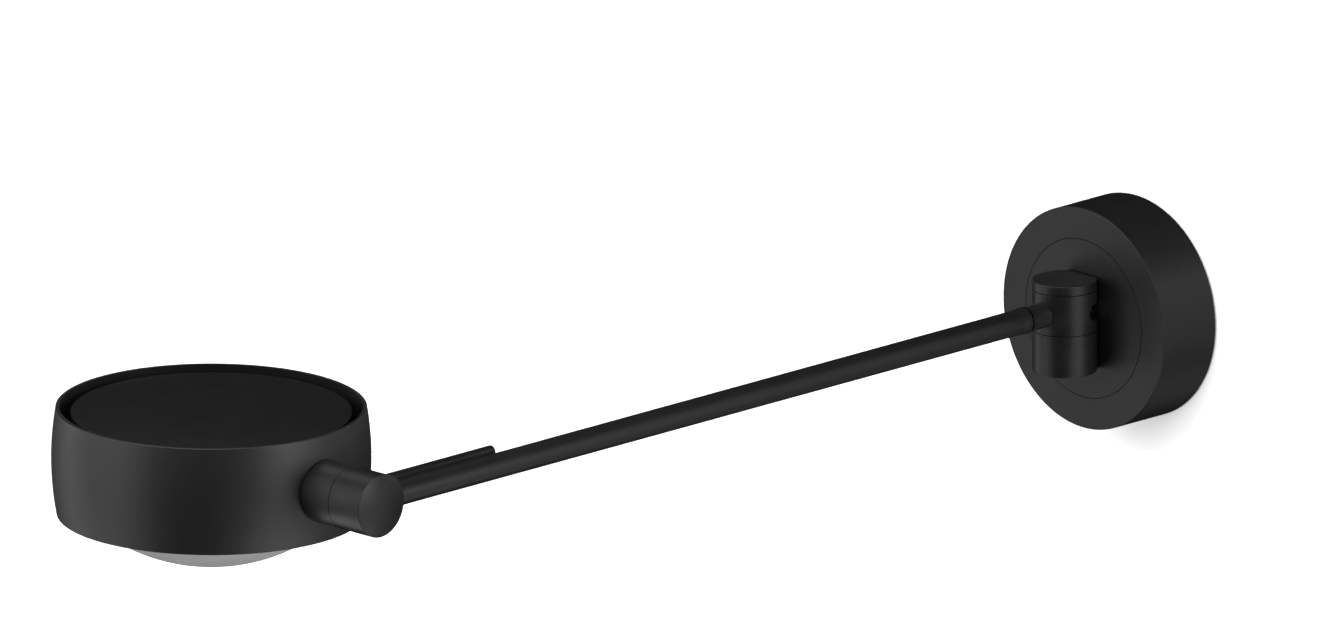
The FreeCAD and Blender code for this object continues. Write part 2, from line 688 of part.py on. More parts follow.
def hinge_base():
    """Fixed lower half of the hinge barrel."""
    body = rod(Vector(0, HINGE_Y, BASE_LOW), Z, BASE_TOP - BASE_LOW, BARREL_R)
    body = rounded(body, BASE_EDGE, lambda e: is_circle(e, BARREL_R, Z, BASE_LOW))
    body = body.cut(rod(Vector(0, HINGE_Y, SPINDLE_LOW - PASS), Z, BASE_TOP + BREAK - SPINDLE_LOW,
                        SPINDLE_R + SEAT))
    below = Vector(0, HINGE_Y, BASE_LOW - BREAK)
    body = body.cut(rod(below, Z, SPINDLE_LOW - BASE_LOW + BREAK, SPINDLE_SCREW_HOLE_R))
    body = body.cut(rod(below, Z, BASE_SINK + BREAK, BASE_SINK_R))
    for side in (-1, 1):
        seat = Vector(side * BASE_SCREW_X, DISC_BACK_Y - BASE_SCREW_SINK, BASE_SCREW_Z)
        body = body.cut(rod(seat, -Y, BASE_SCREW_LENGTH + 2 * PASS, BASE_SCREW_R + SEAT))
    return body


def hinge_base_screws():
    """Two screws that hold the hinge base to the inner disc, from behind."""
    seat_y = DISC_BACK_Y - BASE_SCREW_SINK
    return Part.makeCompound([
        pan_screw(Vector(side * BASE_SCREW_X, seat_y, BASE_SCREW_Z), -Y, BASE_SCREW_R, BASE_SCREW_LENGTH)
        for side in (-1, 1)])


def hinge_spindle():
    """Hollow fixed shaft, with a hole for the nipple and a wide window towards the arm."""
    body = rod(Vector(0, HINGE_Y, SPINDLE_LOW), Z, SPINDLE_TOP - SPINDLE_LOW, SPINDLE_R)
    body = body.cut(rod(Vector(0, HINGE_Y, SPINDLE_BORE_LOW), Z, SPINDLE_TOP + BREAK - SPINDLE_BORE_LOW,
                        SPINDLE_BORE_R))
    body = body.cut(rod(Vector(0, HINGE_Y, SPINDLE_LOW - BREAK), Z, SPINDLE_THREAD + BREAK,
                        SPINDLE_SCREW_R + SEAT))
    window = sector(SPINDLE_BORE_R - BREAK, SPINDLE_R + BREAK, ARM_Z - SPINDLE_WINDOW_HALF,
                    ARM_Z + SPINDLE_WINDOW_HALF, *SPINDLE_WINDOW)
    window.translate(Vector(0, HINGE_Y, 0))
    body = body.cut(window)
    return body.cut(rod(Vector(0, HINGE_Y, ARM_Z), Y, SPINDLE_R + BREAK, NIPPLE_R + SEAT))


def spindle_screw():
    """Screw that pulls the spindle into the base, from below."""
    return pan_screw(Vector(0, HINGE_Y, BASE_LOW + BASE_SINK), Z, SPINDLE_SCREW_R, SPINDLE_SCREW_LENGTH)


def cable_nipple():
    """Tube that leads the wires into the spindle and stops the sleeve at both ends."""
    start = Vector(0, DISC_BACK_Y + NIPPLE_BACK, ARM_Z)
    return tube(start, -Y, start.y - HINGE_Y - NIPPLE_IN, NIPPLE_R, NIPPLE_BORE_R)


def thrust_washer():
    """Low-friction washer between base and sleeve."""
    return tube(Vector(0, HINGE_Y, BASE_TOP), Z, THRUST_WASHER_T, THRUST_WASHER_R, SPINDLE_R + PASS)


def hinge_sleeve():
    """Turning middle of the hinge, with a slot round its back for the nipple."""
    low = BASE_TOP + SEAM
    high = CAP_LOW - SEAM
    body = rod(Vector(0, HINGE_Y, low), Z, high - low, BARREL_R)
    below = Vector(0, HINGE_Y, low - BREAK)
    body = body.cut(rod(below, Z, high - low + 2 * BREAK, BUSH_R))
    body = body.cut(rod(below, Z, SLEEVE_RECESS + BREAK, SLEEVE_RECESS_R))
    body = body.cut(rod(Vector(0, HINGE_Y, SLEEVE_RECESS_TOP), Z, high + BREAK - SLEEVE_RECESS_TOP,
                        SLEEVE_RECESS_R))
    slot = sector(BUSH_R - BREAK, BARREL_R + BREAK, ARM_Z - SLEEVE_SLOT_R, ARM_Z + SLEEVE_SLOT_R,
                  90.0 - SLEEVE_SLOT_HALF, 90.0 + SLEEVE_SLOT_HALF)
    slot.translate(Vector(0, HINGE_Y, 0))
    body = body.cut(slot)
    for angle in (90.0 - SLEEVE_SLOT_HALF, 90.0 + SLEEVE_SLOT_HALF):
        end = rod(Vector(0, HINGE_Y, ARM_Z) + polar(SPINDLE_R, angle), polar(1, angle),
                  BARREL_R + 2 * BREAK - SPINDLE_R, SLEEVE_SLOT_R)
        body = body.cut(end)
    body = body.cut(rod(along_arm(SPINDLE_R), -Y, BARREL_R - SPINDLE_R, STUB_SPIGOT_R + SEAT))
    return body.cut(rod(along_arm(STUB_SHOULDER), -Y, BARREL_R - STUB_SHOULDER + BREAK, STUB_R + SEAT))


def lower_bush():
    """Plain bush in the sleeve's lower end."""
    low = BASE_TOP + THRUST_WASHER_T + BUSH_PLAY
    return tube(Vector(0, HINGE_Y, low), Z, LOWER_BUSH_TOP - low, BUSH_R - SEAT, SPINDLE_R + RUN)


def upper_bush():
    """Flanged bush in the sleeve's upper end."""
    body = tube(Vector(0, HINGE_Y, UPPER_BUSH_LOW), Z, UPPER_BUSH_TOP - UPPER_BUSH_LOW, BUSH_R - SEAT,
                SPINDLE_R + RUN)
    flange = tube(Vector(0, HINGE_Y, SLEEVE_RECESS_TOP), Z, UPPER_BUSH_TOP - SLEEVE_RECESS_TOP,
                  UPPER_FLANGE_R, SPINDLE_R + RUN)
    return fused(body, flange)


def hinge_spring():
    """Coned spring washer that keeps the swing firm."""
    inner_low = SPRING_LOW + SPRING_CONE
    return turned([(SPINDLE_R + RUN, inner_low), (SPRING_R, SPRING_LOW), (SPRING_R, SPRING_LOW + SPRING_T),
                   (SPINDLE_R + RUN, inner_low + SPRING_T)], Vector(0, HINGE_Y, 0))


def tension_nut():
    """Round slotted nut that presses the spring."""
    body = tube(Vector(0, HINGE_Y, NUT_LOW), Z, NUT_T, NUT_R, SPINDLE_R + SEAT)
    return body.cut(box(Vector(-NUT_R - BREAK, HINGE_Y - NUT_SLOT_HALF, NUT_SLOT_FLOOR),
                        Vector(NUT_R + BREAK, HINGE_Y + NUT_SLOT_HALF, NUT_LOW + NUT_T + BREAK)))


def hinge_cap():
    """Fixed cap screwed on the spindle's end."""
    body = rod(Vector(0, HINGE_Y, CAP_LOW), Z, CAP_TOP - CAP_LOW, BARREL_R)
    body = rounded(body, CAP_EDGE, lambda e: is_circle(e, BARREL_R, Z, CAP_TOP))
    below = Vector(0, HINGE_Y, CAP_LOW - BREAK)
    body = body.cut(rod(below, Z, CAP_RECESS + BREAK, CAP_RECESS_R))
    return body.cut(rod(below, Z, CAP_BORE + BREAK, SPINDLE_R + SEAT))


# ---------------------------------------------------------------- arm

def arm_stub():
    """Hollow spigot fixed in the sleeve, with the long journal that the arm rolls on."""
    body = fused(rod(along_arm(STUB_SPIGOT_START), -Y, STUB_SHOULDER - STUB_SPIGOT_START, STUB_SPIGOT_R),
                 rod(along_arm(STUB_SHOULDER), -Y, STUB_END - STUB_SHOULDER, STUB_R),
                 rod(along_arm(STUB_END), -Y, JOURNAL_END - STUB_END, JOURNAL_R))
    body = body.cut(tube(along_arm(JOURNAL_END - CLIP_GROOVE), -Y, CLIP_GROOVE_W, JOURNAL_R + BREAK,
                         CLIP_GROOVE_R))
    body = body.cut(rod(along_arm(ROLL_PIN_START, up=ROLL_PIN_PCR), -Y, ROLL_PIN_HOLE, ROLL_PIN_R + SEAT))
    return body.cut(rod(along_arm(0), -Y, JOURNAL_END + BREAK, STUB_BORE_R))


def roll_washer():
    """Thin flange washer at the stub's end, held from turning by the stop pin."""
    body = tube(along_arm(STUB_END), -Y, FLANGE_T, FLANGE_R, JOURNAL_R + SEAT)
    return body.cut(rod(along_arm(STUB_END - BREAK, up=ROLL_PIN_PCR), -Y, FLANGE_T + 2 * BREAK,
                        ROLL_PIN_R + SEAT))


def roll_stop_pin():
    """Pin in the stub's face that limits the arm's roll."""
    return rod(along_arm(ROLL_PIN_START, up=ROLL_PIN_PCR), -Y, ROLL_PIN_LENGTH, ROLL_PIN_R)


def roll_clip():
    """Open retaining ring in the journal's groove."""
    start = along_arm(JOURNAL_END - CLIP_GROOVE + (CLIP_GROOVE_W - CLIP_T) / 2)
    body = tube(start, -Y, CLIP_T, CLIP_R, CLIP_BORE_R)
    return body.cut(box(start - Vector(CLIP_GAP_HALF, CLIP_T + BREAK, CLIP_R + BREAK),
                        start + Vector(CLIP_GAP_HALF, BREAK, -CLIP_GAP_HALF)))


def stub_lead():
    """Length of the lead that lies in the stub."""
    end = ARM_LEAD_START - LEAD_GAP
    return rod(along_arm(STUB_LEAD_START), -Y, end - STUB_LEAD_START, LEAD_R)


def arm_collar():
    """Flared collar with a spigot in the tube and an arc-shaped recess for the stop pin."""
    flare = [(0, -COLLAR_START), (COLLAR_R - COLLAR_EDGE, -COLLAR_START),
             (COLLAR_R, -COLLAR_START - COLLAR_EDGE), (TUBE_R, -COLLAR_END),
             (TUBE_BORE_R - SEAT, -COLLAR_END), (TUBE_BORE_R - SEAT, -COLLAR_SPIGOT_END),
             (0, -COLLAR_SPIGOT_END)]
    body = turned(flare, Vector(0, 0, 0))
    body = body.cut(rod(Vector(0, 0, 0), -Z, COLLAR_SPIGOT_END + BREAK, ROLL_BUSH_R))
    recess = sector(JOURNAL_R, ROLL_RECESS_R, -ROLL_RECESS_END, BREAK - COLLAR_START,
                    270 - ROLL_RECESS_HALF, 270 + ROLL_RECESS_HALF)
    body = body.cut(recess)
    body.rotate(Vector(0, 0, 0), X, -90)
    body.translate(along_arm(0))
    return body


def roll_bush():
    """Plain bush between the collar and the journal."""
    start = ROLL_RECESS_END + ROLL_BUSH_GAP
    return tube(along_arm(start), -Y, COLLAR_SPIGOT_END - start, ROLL_BUSH_R - SEAT, JOURNAL_R + RUN)


def arm_tube():
    """Long straight tube."""
    return tube(along_arm(COLLAR_END), -Y, ARM_LENGTH - TUBE_SOCKET - COLLAR_END, TUBE_R, TUBE_BORE_R)


def arm_lead():
    """Length of the lead in the tube, bent once into the tilt spindle."""
    return lead([along_arm(ARM_LEAD_START), Vector(0, TILT_Y, ARM_Z),
                 Vector(SPINDLE_END_X - LEAD_GAP / 2, TILT_Y, ARM_Z)], ARM_LEAD_BEND)


# ---------------------------------------------------------------- tilt joint

def tilt_housing():
    """Outer half of the cross joint, which the arm tube and the spindle are fixed in."""
    dome_r = (BARREL_R ** 2 + HOUSING_DOME ** 2) / (2 * HOUSING_DOME)
    ball = Part.makeSphere(dome_r, about_tilt(0, 0, HOUSING_OUT_X + HOUSING_DOME - dome_r))
    length = HOUSING_OUT_X + HOUSING_DOME - HOUSING_IN_X
    body = rod(about_tilt(0, 0, HOUSING_IN_X), X, length, BARREL_R).common(ball)
    body = rounded(body, HOUSING_EDGE, lambda e: is_circle(e, BARREL_R, X, HOUSING_OUT_X))
    face = about_tilt(0, 0, HOUSING_IN_X - BREAK)
    body = body.cut(rod(face, X, SPINDLE_TAIL_X - face.x, TILT_SPINDLE_R + SEAT))
    body = body.cut(rod(face, X, RECESS_X - face.x, RECESS_R))
    body = body.cut(rod(about_tilt(TUBE_SOCKET, 0, 0), Y, BARREL_R, TUBE_R + SEAT))
    body = body.cut(rod(about_tilt(HOUSING_CABLE_START, 0, 0), Y, TUBE_SOCKET + BREAK - HOUSING_CABLE_START,
                        HOUSING_CABLE_R))
    pin = about_tilt(STOP_PCR, 180, face.x)
    body = body.cut(rod(pin, X, STOP_PIN_X + STOP_PIN_LENGTH - face.x, STOP_PIN_R + SEAT))
    for offset, _ in JOINT_GRUBS:
        below = about_tilt(offset, 0, 0) - Z * (BARREL_R + BREAK)
        body = body.cut(rod(below, Z, BARREL_R + BREAK, JOINT_GRUB_R + SEAT))
    return body


def joint_set_screws():
    """Two grub screws under the housing: one on the spindle, one on the tube."""
    top = ARM_Z - TUBE_R - SEAT
    screws = []
    for offset, length in JOINT_GRUBS:
        screws.append(grub_screw(Vector(0, TILT_Y + offset, top - length), Z, length, JOINT_GRUB_R))
    return Part.makeCompound(screws)


def tilt_spindle():
    """Hollow shaft fixed in the housing, which the head turns on."""
    body = fused(rod(about_tilt(0, 0, SPINDLE_END_X), X, SPINDLE_TAIL_X - SPINDLE_END_X, TILT_SPINDLE_R),
                 rod(about_tilt(0, 0, SHOULDER_START), X, SHOULDER_T, SHOULDER_R))
    end = about_tilt(0, 0, SPINDLE_END_X - BREAK)
    body = body.cut(rod(end, X, TILT_BORE_END - end.x, TILT_BORE_R))
    for x in LEAD_SLOT_X:
        body = body.cut(rod(about_tilt(0, 0, x), Y, LEAD_SLOT_END, LEAD_SLOT_R))
    return body.cut(box(about_tilt(0, 0, LEAD_SLOT_X[0]) - Z * LEAD_SLOT_R,
                        about_tilt(LEAD_SLOT_END, 0, LEAD_SLOT_X[1]) + Z * LEAD_SLOT_R))


def tilt_stop_pin():
    """Pin in the housing that runs in the collar's groove."""
    return rod(about_tilt(STOP_PCR, 180, STOP_PIN_X), X, STOP_PIN_LENGTH, STOP_PIN_R)


def tilt_washer():
    """Low-friction washer between the spindle's shoulder and the collar."""
    return tube(about_tilt(0, 0, TILT_WASHER_X), X, TILT_WASHER_T, SHOULDER_R, TILT_SPINDLE_R + SEAT)


def tilt_springs():
    """Two coned spring washers, point to point, under the nut."""
    washers = []
    bore_r = TILT_SPINDLE_R + RUN
    for x, lean in TILT_SPRINGS:
        washer = turned([(bore_r, lean / 2), (TILT_SPRING_R, -lean / 2),
                         (TILT_SPRING_R, TILT_SPRING_T - lean / 2), (bore_r, TILT_SPRING_T + lean / 2)],
                        Vector(0, 0, 0))
        washer.rotate(Vector(0, 0, 0), Y, 90)
        washer.translate(about_tilt(0, 0, x))
        washers.append(washer)
    return Part.makeCompound(washers)


def tilt_nut():
    """Hexagon locking nut on the spindle's end."""
    body = hexagon(about_tilt(0, 0, TILT_NUT_X), X, TILT_NUT_T, TILT_NUT_R)
    return body.cut(rod(about_tilt(0, 0, TILT_NUT_X - BREAK), X, TILT_NUT_T + 2 * BREAK,
                        TILT_SPINDLE_R + SEAT))


def head_outer():
    """The head's outside as a solid drum."""
    return turned([(0, HEAD_HALF), (HEAD_TOP_R, HEAD_HALF, (HEAD_R, 0)), (HEAD_BOTTOM_R, -HEAD_HALF),
                   (0, -HEAD_HALF)], HEAD_CENTRE)


def head_inner():
    """The hollow inside the head's wall."""
    return turned([(0, HEAD_HALF + BREAK), (HEAD_TOP_R - RIM_WALL, HEAD_HALF + BREAK),
                   (HEAD_TOP_R - RIM_WALL, HEAD_HALF, (HEAD_R - SHELL_WALL, 1.0)),
                   (INNER_LOW_R, SEAT_TOP), (0, SEAT_TOP)], HEAD_CENTRE)


def tilt_collar():
    """Head half of the cross joint. Its end is shaped to the drum's wall."""
    length = JOINT_COLLAR_X - SPINDLE_END_X
    start = about_tilt(0, 0, SPINDLE_END_X)
    body = rod(start, X, length, BARREL_R).cut(head_outer())
    rim = tube(start, X, length, BARREL_R + BREAK, BARREL_R - COLLAR_REBATE_IN)
    body = body.cut(rim.common(rod(in_head(0, 0, -HEAD_HALF), Z, 2 * HEAD_HALF, HEAD_R + COLLAR_REBATE)))
    body = body.cut(rod(start, X, length + BREAK, TILT_BUSH_R + SEAT))
    groove = sector(STOP_PCR - STOP_GROOVE_W / 2, STOP_PCR + STOP_GROOVE_W / 2, 0, BARREL_R,
                    180 - STOP_GROOVE_HALF, 180 + STOP_GROOVE_HALF)
    groove.rotate(Vector(0, 0, 0), Vector(1, 1, 1), 120)
    groove.translate(about_tilt(0, 0, STOP_GROOVE_X))
    body = body.cut(groove)
    for angle in JOINT_SCREW_ANGLES:
        body = body.cut(rod(about_tilt(JOINT_SCREW_PCR, angle, BLOCK_X), X, JOINT_SCREW_END - BLOCK_X,
                            JOINT_SCREW_R + SEAT))
    body = body.cut(rod(about_tilt(LEVER_SPIGOT_START - 2 * PASS, 0, LEVER_X), Y, BARREL_R,
                        LEVER_SPIGOT_R + SEAT))
    return body.cut(rod(about_tilt(LEVER_START, 0, LEVER_X), Y, BARREL_R, LEVER_R + SEAT))


def tilt_bush():
    """Plain bush between the collar and the tilt spindle."""
    return tube(about_tilt(0, 0, TILT_BUSH_START), X, TILT_BUSH_END - TILT_BUSH_START, TILT_BUSH_R,
                TILT_SPINDLE_R + RUN)


def tilt_lever():
    """Thin bar that the head is turned by."""
    body = rod(about_tilt(LEVER_START, 0, LEVER_X), Y, LEVER_END - LEVER_START, LEVER_R)
    body = rounded(body, LEVER_TIP, lambda e: is_circle(e, LEVER_R, Y, TILT_Y + LEVER_END))
    return fused(body, rod(about_tilt(LEVER_SPIGOT_START, 0, LEVER_X), Y, LEVER_START - LEVER_SPIGOT_START,
                           LEVER_SPIGOT_R))


def joint_block():
    """Saddle block inside the shell that the collar is screwed to."""
    body = rod(about_tilt(0, 0, BLOCK_X), X, BLOCK_LENGTH, BLOCK_R).common(head_inner())
    start = BLOCK_X - BREAK
    body = body.cut(rod(about_tilt(0, 0, start), X, BLOCK_LENGTH + 2 * BREAK, TILT_SPINDLE_R + SPINDLE_PASS))
    for angle in JOINT_SCREW_ANGLES:
        body = body.cut(rod(about_tilt(JOINT_SCREW_PCR, angle, start), X, BLOCK_LENGTH + 2 * BREAK,
                            JOINT_SCREW_R + PASS))
    return body


def joint_screws():
    """Three screws from inside the head into the collar."""
    return Part.makeCompound([
        pan_screw(about_tilt(JOINT_SCREW_PCR, angle, BLOCK_X), X, JOINT_SCREW_R, JOINT_SCREW_LENGTH)
        for angle in JOINT_SCREW_ANGLES])


def friction_washer():
    """Washer that the spring washers press on the block."""
    return tube(about_tilt(0, 0, BLOCK_X - FRICTION_WASHER_T), X, FRICTION_WASHER_T, FRICTION_WASHER_R,
                TILT_SPINDLE_R + PASS)


# ---------------------------------------------------------------- head

def clamp_screw_angles():
    """Angles of the clamp screws, evenly spaced and clear of the ears."""
    return [(k + 0.5) * 360.0 / CLAMP_SCREWS for k in range(CLAMP_SCREWS)]


def head_shell():
    """Turned drum with a bulged wall, open at the top, with a coned seat for the lens."""
    body = head_outer().cut(head_inner())
    seat = turned([(0, -HEAD_HALF - BREAK), (SEAT_LOW_R, -HEAD_HALF - BREAK), (SEAT_TOP_R, SEAT_TOP),
                   (SEAT_TOP_R, SEAT_TOP + BREAK), (0, SEAT_TOP + BREAK)], HEAD_CENTRE)
    body = body.cut(seat)
    body = rounded(body, HEAD_EDGE, lambda e: is_circle(e, HEAD_TOP_R, Z, ARM_Z + HEAD_HALF)
                   or is_circle(e, HEAD_BOTTOM_R, Z, ARM_Z - HEAD_HALF))
    body = body.cut(rod(about_tilt(0, 0, SPINDLE_END_X), X, -SPINDLE_END_X, TILT_SPINDLE_R + SPINDLE_PASS))
    for angle in JOINT_SCREW_ANGLES:
        body = body.cut(rod(about_tilt(JOINT_SCREW_PCR, angle, SPINDLE_END_X), X, -SPINDLE_END_X,
                            JOINT_SCREW_R + PASS))
    for angle in clamp_screw_angles():
        place = in_head(CLAMP_SCREW_PCR, angle, SEAT_TOP - CLAMP_SCREW_DEPTH)
        body = body.cut(rod(place, Z, CLAMP_SCREW_DEPTH + BREAK, CLAMP_SCREW_R + SEAT))
    return body


def sphere_radius_at(sphere_r, height):
    """Radius of the lens's sphere at a height in the head."""
    return math.sqrt(sphere_r ** 2 - (LENS_CENTRE - height) ** 2)


def sphere_height_at(sphere_r, radius):
    """Height of the lens's sphere at a radius."""
    return LENS_CENTRE - math.sqrt(sphere_r ** 2 - radius ** 2)


def lens():
    """Domed translucent lens with a short cylindrical rim."""
    inner_r = LENS_SPHERE_R - LENS_T
    middle = 0.5 * LENS_R
    outer_mid = (middle, sphere_height_at(LENS_SPHERE_R, middle))
    rim_in = sphere_radius_at(inner_r, LENS_TOP)
    inner_mid = (middle, sphere_height_at(inner_r, middle))
    return turned([(LENS_R, LENS_TOP), (LENS_R, sphere_height_at(LENS_SPHERE_R, LENS_R), outer_mid),
                   (0, LENS_CENTRE - LENS_SPHERE_R), (0, LENS_CENTRE - inner_r, inner_mid),
                   (rim_in, LENS_TOP)], HEAD_CENTRE)


def lens_seal():
    """Flat silicone ring on the lens's rim."""
    return tube(in_head(0, 0, LENS_TOP), Z, SEAL_T, LENS_R, SEAL_IN_R)


def clamp_ring():
    """Ring that presses the lens into its seat and carries the pillars."""
    low = CLAMP_TOP - CLAMP_T
    body = turned([(CLAMP_IN_R, low), (CLAMP_STEP_R, low), (CLAMP_STEP_R, SEAT_TOP), (CLAMP_OUT_R, SEAT_TOP),
                   (CLAMP_OUT_R, CLAMP_TOP), (CLAMP_IN_R, CLAMP_TOP)],
                  HEAD_CENTRE)
    for angle in clamp_screw_angles():
        place = in_head(CLAMP_SCREW_PCR, angle, SEAT_TOP - BREAK)
        body = body.cut(rod(place, Z, CLAMP_TOP - SEAT_TOP + 2 * BREAK, CLAMP_SCREW_R + PASS))
    for angle in EAR_ANGLES:
        place = in_head(PILLAR_PCR, angle, CLAMP_TOP - CLAMP_T - BREAK)
        body = body.cut(rod(place, Z, CLAMP_T + 2 * BREAK, PILLAR_SCREW_R + SEAT))
    return body


def clamp_screws():
    """Screws through the clamp ring into the shell's bottom flange."""
    return Part.makeCompound([
        pan_screw(in_head(CLAMP_SCREW_PCR, angle, CLAMP_TOP), -Z, CLAMP_SCREW_R, CLAMP_SCREW_LENGTH)
        for angle in clamp_screw_angles()])


def reflector():
    """Coned reflector from the light source down to the lens."""
    low = CLAMP_TOP
    rim_top = low + REFLECTOR_RIM_T
    return turned([(REFLECTOR_NECK_R, REFLECTOR_TOP), (REFLECTOR_MOUTH_R, low), (REFLECTOR_RIM_R, low),
                   (REFLECTOR_RIM_R, rim_top), (REFLECTOR_MOUTH_R + REFLECTOR_T, rim_top),
                   (REFLECTOR_NECK_R + REFLECTOR_T, REFLECTOR_TOP)], HEAD_CENTRE)


def led_board():
    """Round metal-core board with the light-emitting chip below it."""
    board = rod(in_head(0, 0, BOARD_LOW), Z, BOARD_T, BOARD_R)
    return fused(board, rod(in_head(0, 0, BOARD_LOW - CHIP_T), Z, CHIP_T, CHIP_R))


def led_holder():
    """Ring that holds the board to the heat sink and the reflector to the board."""
    body = tube(in_head(0, 0, REFLECTOR_TOP), Z, BOARD_LOW - REFLECTOR_TOP, HOLDER_R, CHIP_R + HOLDER_GAP)
    return body.cut(rod(in_head(0, 0, REFLECTOR_TOP - BREAK), Z, HOLDER_RECESS + BREAK, HOLDER_RECESS_R))


def heat_sink():
    """Finned aluminium disc with three ears."""
    body = rod(in_head(0, 0, SINK_LOW), Z, SINK_BASE_T, SINK_R)
    pieces = [rod(in_head(0, 0, SINK_LOW), Z, SINK_TOP - SINK_LOW, CORE_R)]
    base_top = SINK_LOW + SINK_BASE_T
    for k in range(FINS):
        fin = box(Vector(CORE_R - BREAK, -FIN_T / 2, SINK_LOW), Vector(SINK_R - BREAK, FIN_T / 2, SINK_TOP))
        fin.rotate(Vector(0, 0, 0), Z, (k + 0.5) * 360.0 / FINS)
        fin.translate(HEAD_CENTRE)
        pieces.append(fin)
    for angle in EAR_ANGLES:
        ear = box(Vector(SINK_R - PILLAR_R - BREAK, -EAR_HALF, SINK_LOW),
                  Vector(EAR_END_R, EAR_HALF, base_top))
        ear.rotate(Vector(0, 0, 0), Z, angle)
        ear.translate(HEAD_CENTRE)
        pieces.append(ear)
    body = fused(body, *pieces)
    for angle in EAR_ANGLES:
        body = body.cut(rod(in_head(PILLAR_PCR, angle, 0), Z, SINK_TOP, PILLAR_SCREW_R + PASS))
        body = body.cut(rod(in_head(POST_PCR, angle, 0), Z, SINK_TOP, POST_STUD_R + SEAT))
    return body


def head_pillars():
    """Three turned pillars between the clamp ring and the heat sink."""
    pillars = []
    for angle in EAR_ANGLES:
        body = rod(in_head(PILLAR_PCR, angle, CLAMP_TOP), Z, SINK_LOW - CLAMP_TOP, PILLAR_R)
        stud = rod(in_head(PILLAR_PCR, angle, CLAMP_TOP - CLAMP_T), Z, CLAMP_T, PILLAR_SCREW_R)
        body = fused(body, stud)
        body = body.cut(rod(in_head(PILLAR_PCR, angle, SINK_LOW - PILLAR_THREAD), Z, PILLAR_THREAD + BREAK,
                            PILLAR_SCREW_R + SEAT))
        pillars.append(body)
    return Part.makeCompound(pillars)


def pillar_screws():
    """Screws through the heat sink's ears into the pillars."""
    return Part.makeCompound([
        pan_screw(in_head(PILLAR_PCR, angle, SINK_LOW + SINK_BASE_T), -Z, PILLAR_SCREW_R,
                  PILLAR_SCREW_LENGTH)
        for angle in EAR_ANGLES])


def disc_posts():
    """Three posts that carry the top disc clear of the fins."""
    posts = []
    base = SINK_LOW + SINK_BASE_T
    top = TOP_DISC_TOP - TOP_DISC_T + POST_SINK
    for angle in EAR_ANGLES:
        posts.append(fused(rod(in_head(POST_PCR, angle, base), Z, top - base, POST_R),
                           rod(in_head(POST_PCR, angle, SINK_LOW), Z, SINK_BASE_T, POST_STUD_R)))
    return Part.makeCompound(posts)


def top_disc():
    """Flat disc over the heat sink, with an open gap all round for the warm air."""
    low = TOP_DISC_TOP - TOP_DISC_T
    body = turned([(0, low), (TOP_DISC_R, low), (TOP_DISC_R, TOP_DISC_TOP - TOP_DISC_EDGE),
                   (TOP_DISC_R - TOP_DISC_EDGE, TOP_DISC_TOP), (0, TOP_DISC_TOP)], HEAD_CENTRE)
    for angle in EAR_ANGLES:
        body = body.cut(rod(in_head(POST_PCR, angle, low - BREAK), Z, POST_SINK + BREAK, POST_R + SEAT))
    return body


def head_lead():
    """Length of the lead inside the head, from the spindle to the board."""
    return lead([in_head(radius, 0, height) for radius, height in HEAD_LEAD], HEAD_LEAD_BEND)


NODES = {
    "wall_bracket": wall_bracket,
    "rose_cover": rose_cover,
    "cover_set_screws": cover_set_screws,
    "hinge_plate": hinge_plate,
    "hinge_plate_screws": hinge_plate_screws,
    "driver_case": driver_case,
    "driver_board": driver_board,
    "terminal_block": terminal_block,
    "module_screws": module_screws,
    "earth_screw": earth_screw,
    "input_leads": input_leads,
    "output_lead": output_lead,
    "hinge_base": hinge_base,
    "hinge_base_screws": hinge_base_screws,
    "hinge_spindle": hinge_spindle,
    "spindle_screw": spindle_screw,
    "cable_nipple": cable_nipple,
    "thrust_washer": thrust_washer,
    "hinge_spring": hinge_spring,
    "tension_nut": tension_nut,
    "hinge_cap": hinge_cap,
    "hinge_sleeve": hinge_sleeve,
    "lower_bush": lower_bush,
    "upper_bush": upper_bush,
    "arm_stub": arm_stub,
    "roll_washer": roll_washer,
    "roll_stop_pin": roll_stop_pin,
    "roll_clip": roll_clip,
    "stub_lead": stub_lead,
    "arm_collar": arm_collar,
    "roll_bush": roll_bush,
    "arm_tube": arm_tube,
    "arm_lead": arm_lead,
    "tilt_housing": tilt_housing,
    "joint_set_screws": joint_set_screws,
    "tilt_spindle": tilt_spindle,
    "tilt_stop_pin": tilt_stop_pin,
    "tilt_washer": tilt_washer,
    "tilt_springs": tilt_springs,
    "tilt_nut": tilt_nut,
    "tilt_collar": tilt_collar,
    "tilt_bush": tilt_bush,
    "tilt_lever": tilt_lever,
    "joint_block": joint_block,
    "joint_screws": joint_screws,
    "friction_washer": friction_washer,
    "head_shell": head_shell,
    "lens": lens,
    "lens_seal": lens_seal,
    "clamp_ring": clamp_ring,
    "clamp_screws": clamp_screws,
    "reflector": reflector,
    "led_board": led_board,
    "led_holder": led_holder,
    "heat_sink": heat_sink,
    "head_pillars": head_pillars,
    "pillar_screws": pillar_screws,
    "disc_posts": disc_posts,
    "top_disc": top_disc,
    "head_lead": head_lead,
}

os.makedirs("parts", exist_ok=True)
for name, make in NODES.items():
    make().exportStep("parts/" + name + ".step")
print(len(NODES), "nodes")
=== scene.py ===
"""Looks for the wall reading light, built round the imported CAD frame. Units are metres.

The frame's origin is the centre of the rose's back, the wall is the plane y = 0, the arm
reaches along -Y and +Z is up. Tube, collar, lever and top disc are drawn again here as fine
lathed meshes with rounded edges, and every other CAD node is carried over. Each slot of the
record has a procedural material, and the head's shell has one of its own.
"""
import json
import math

import bpy
from mathutils import Matrix, Vector

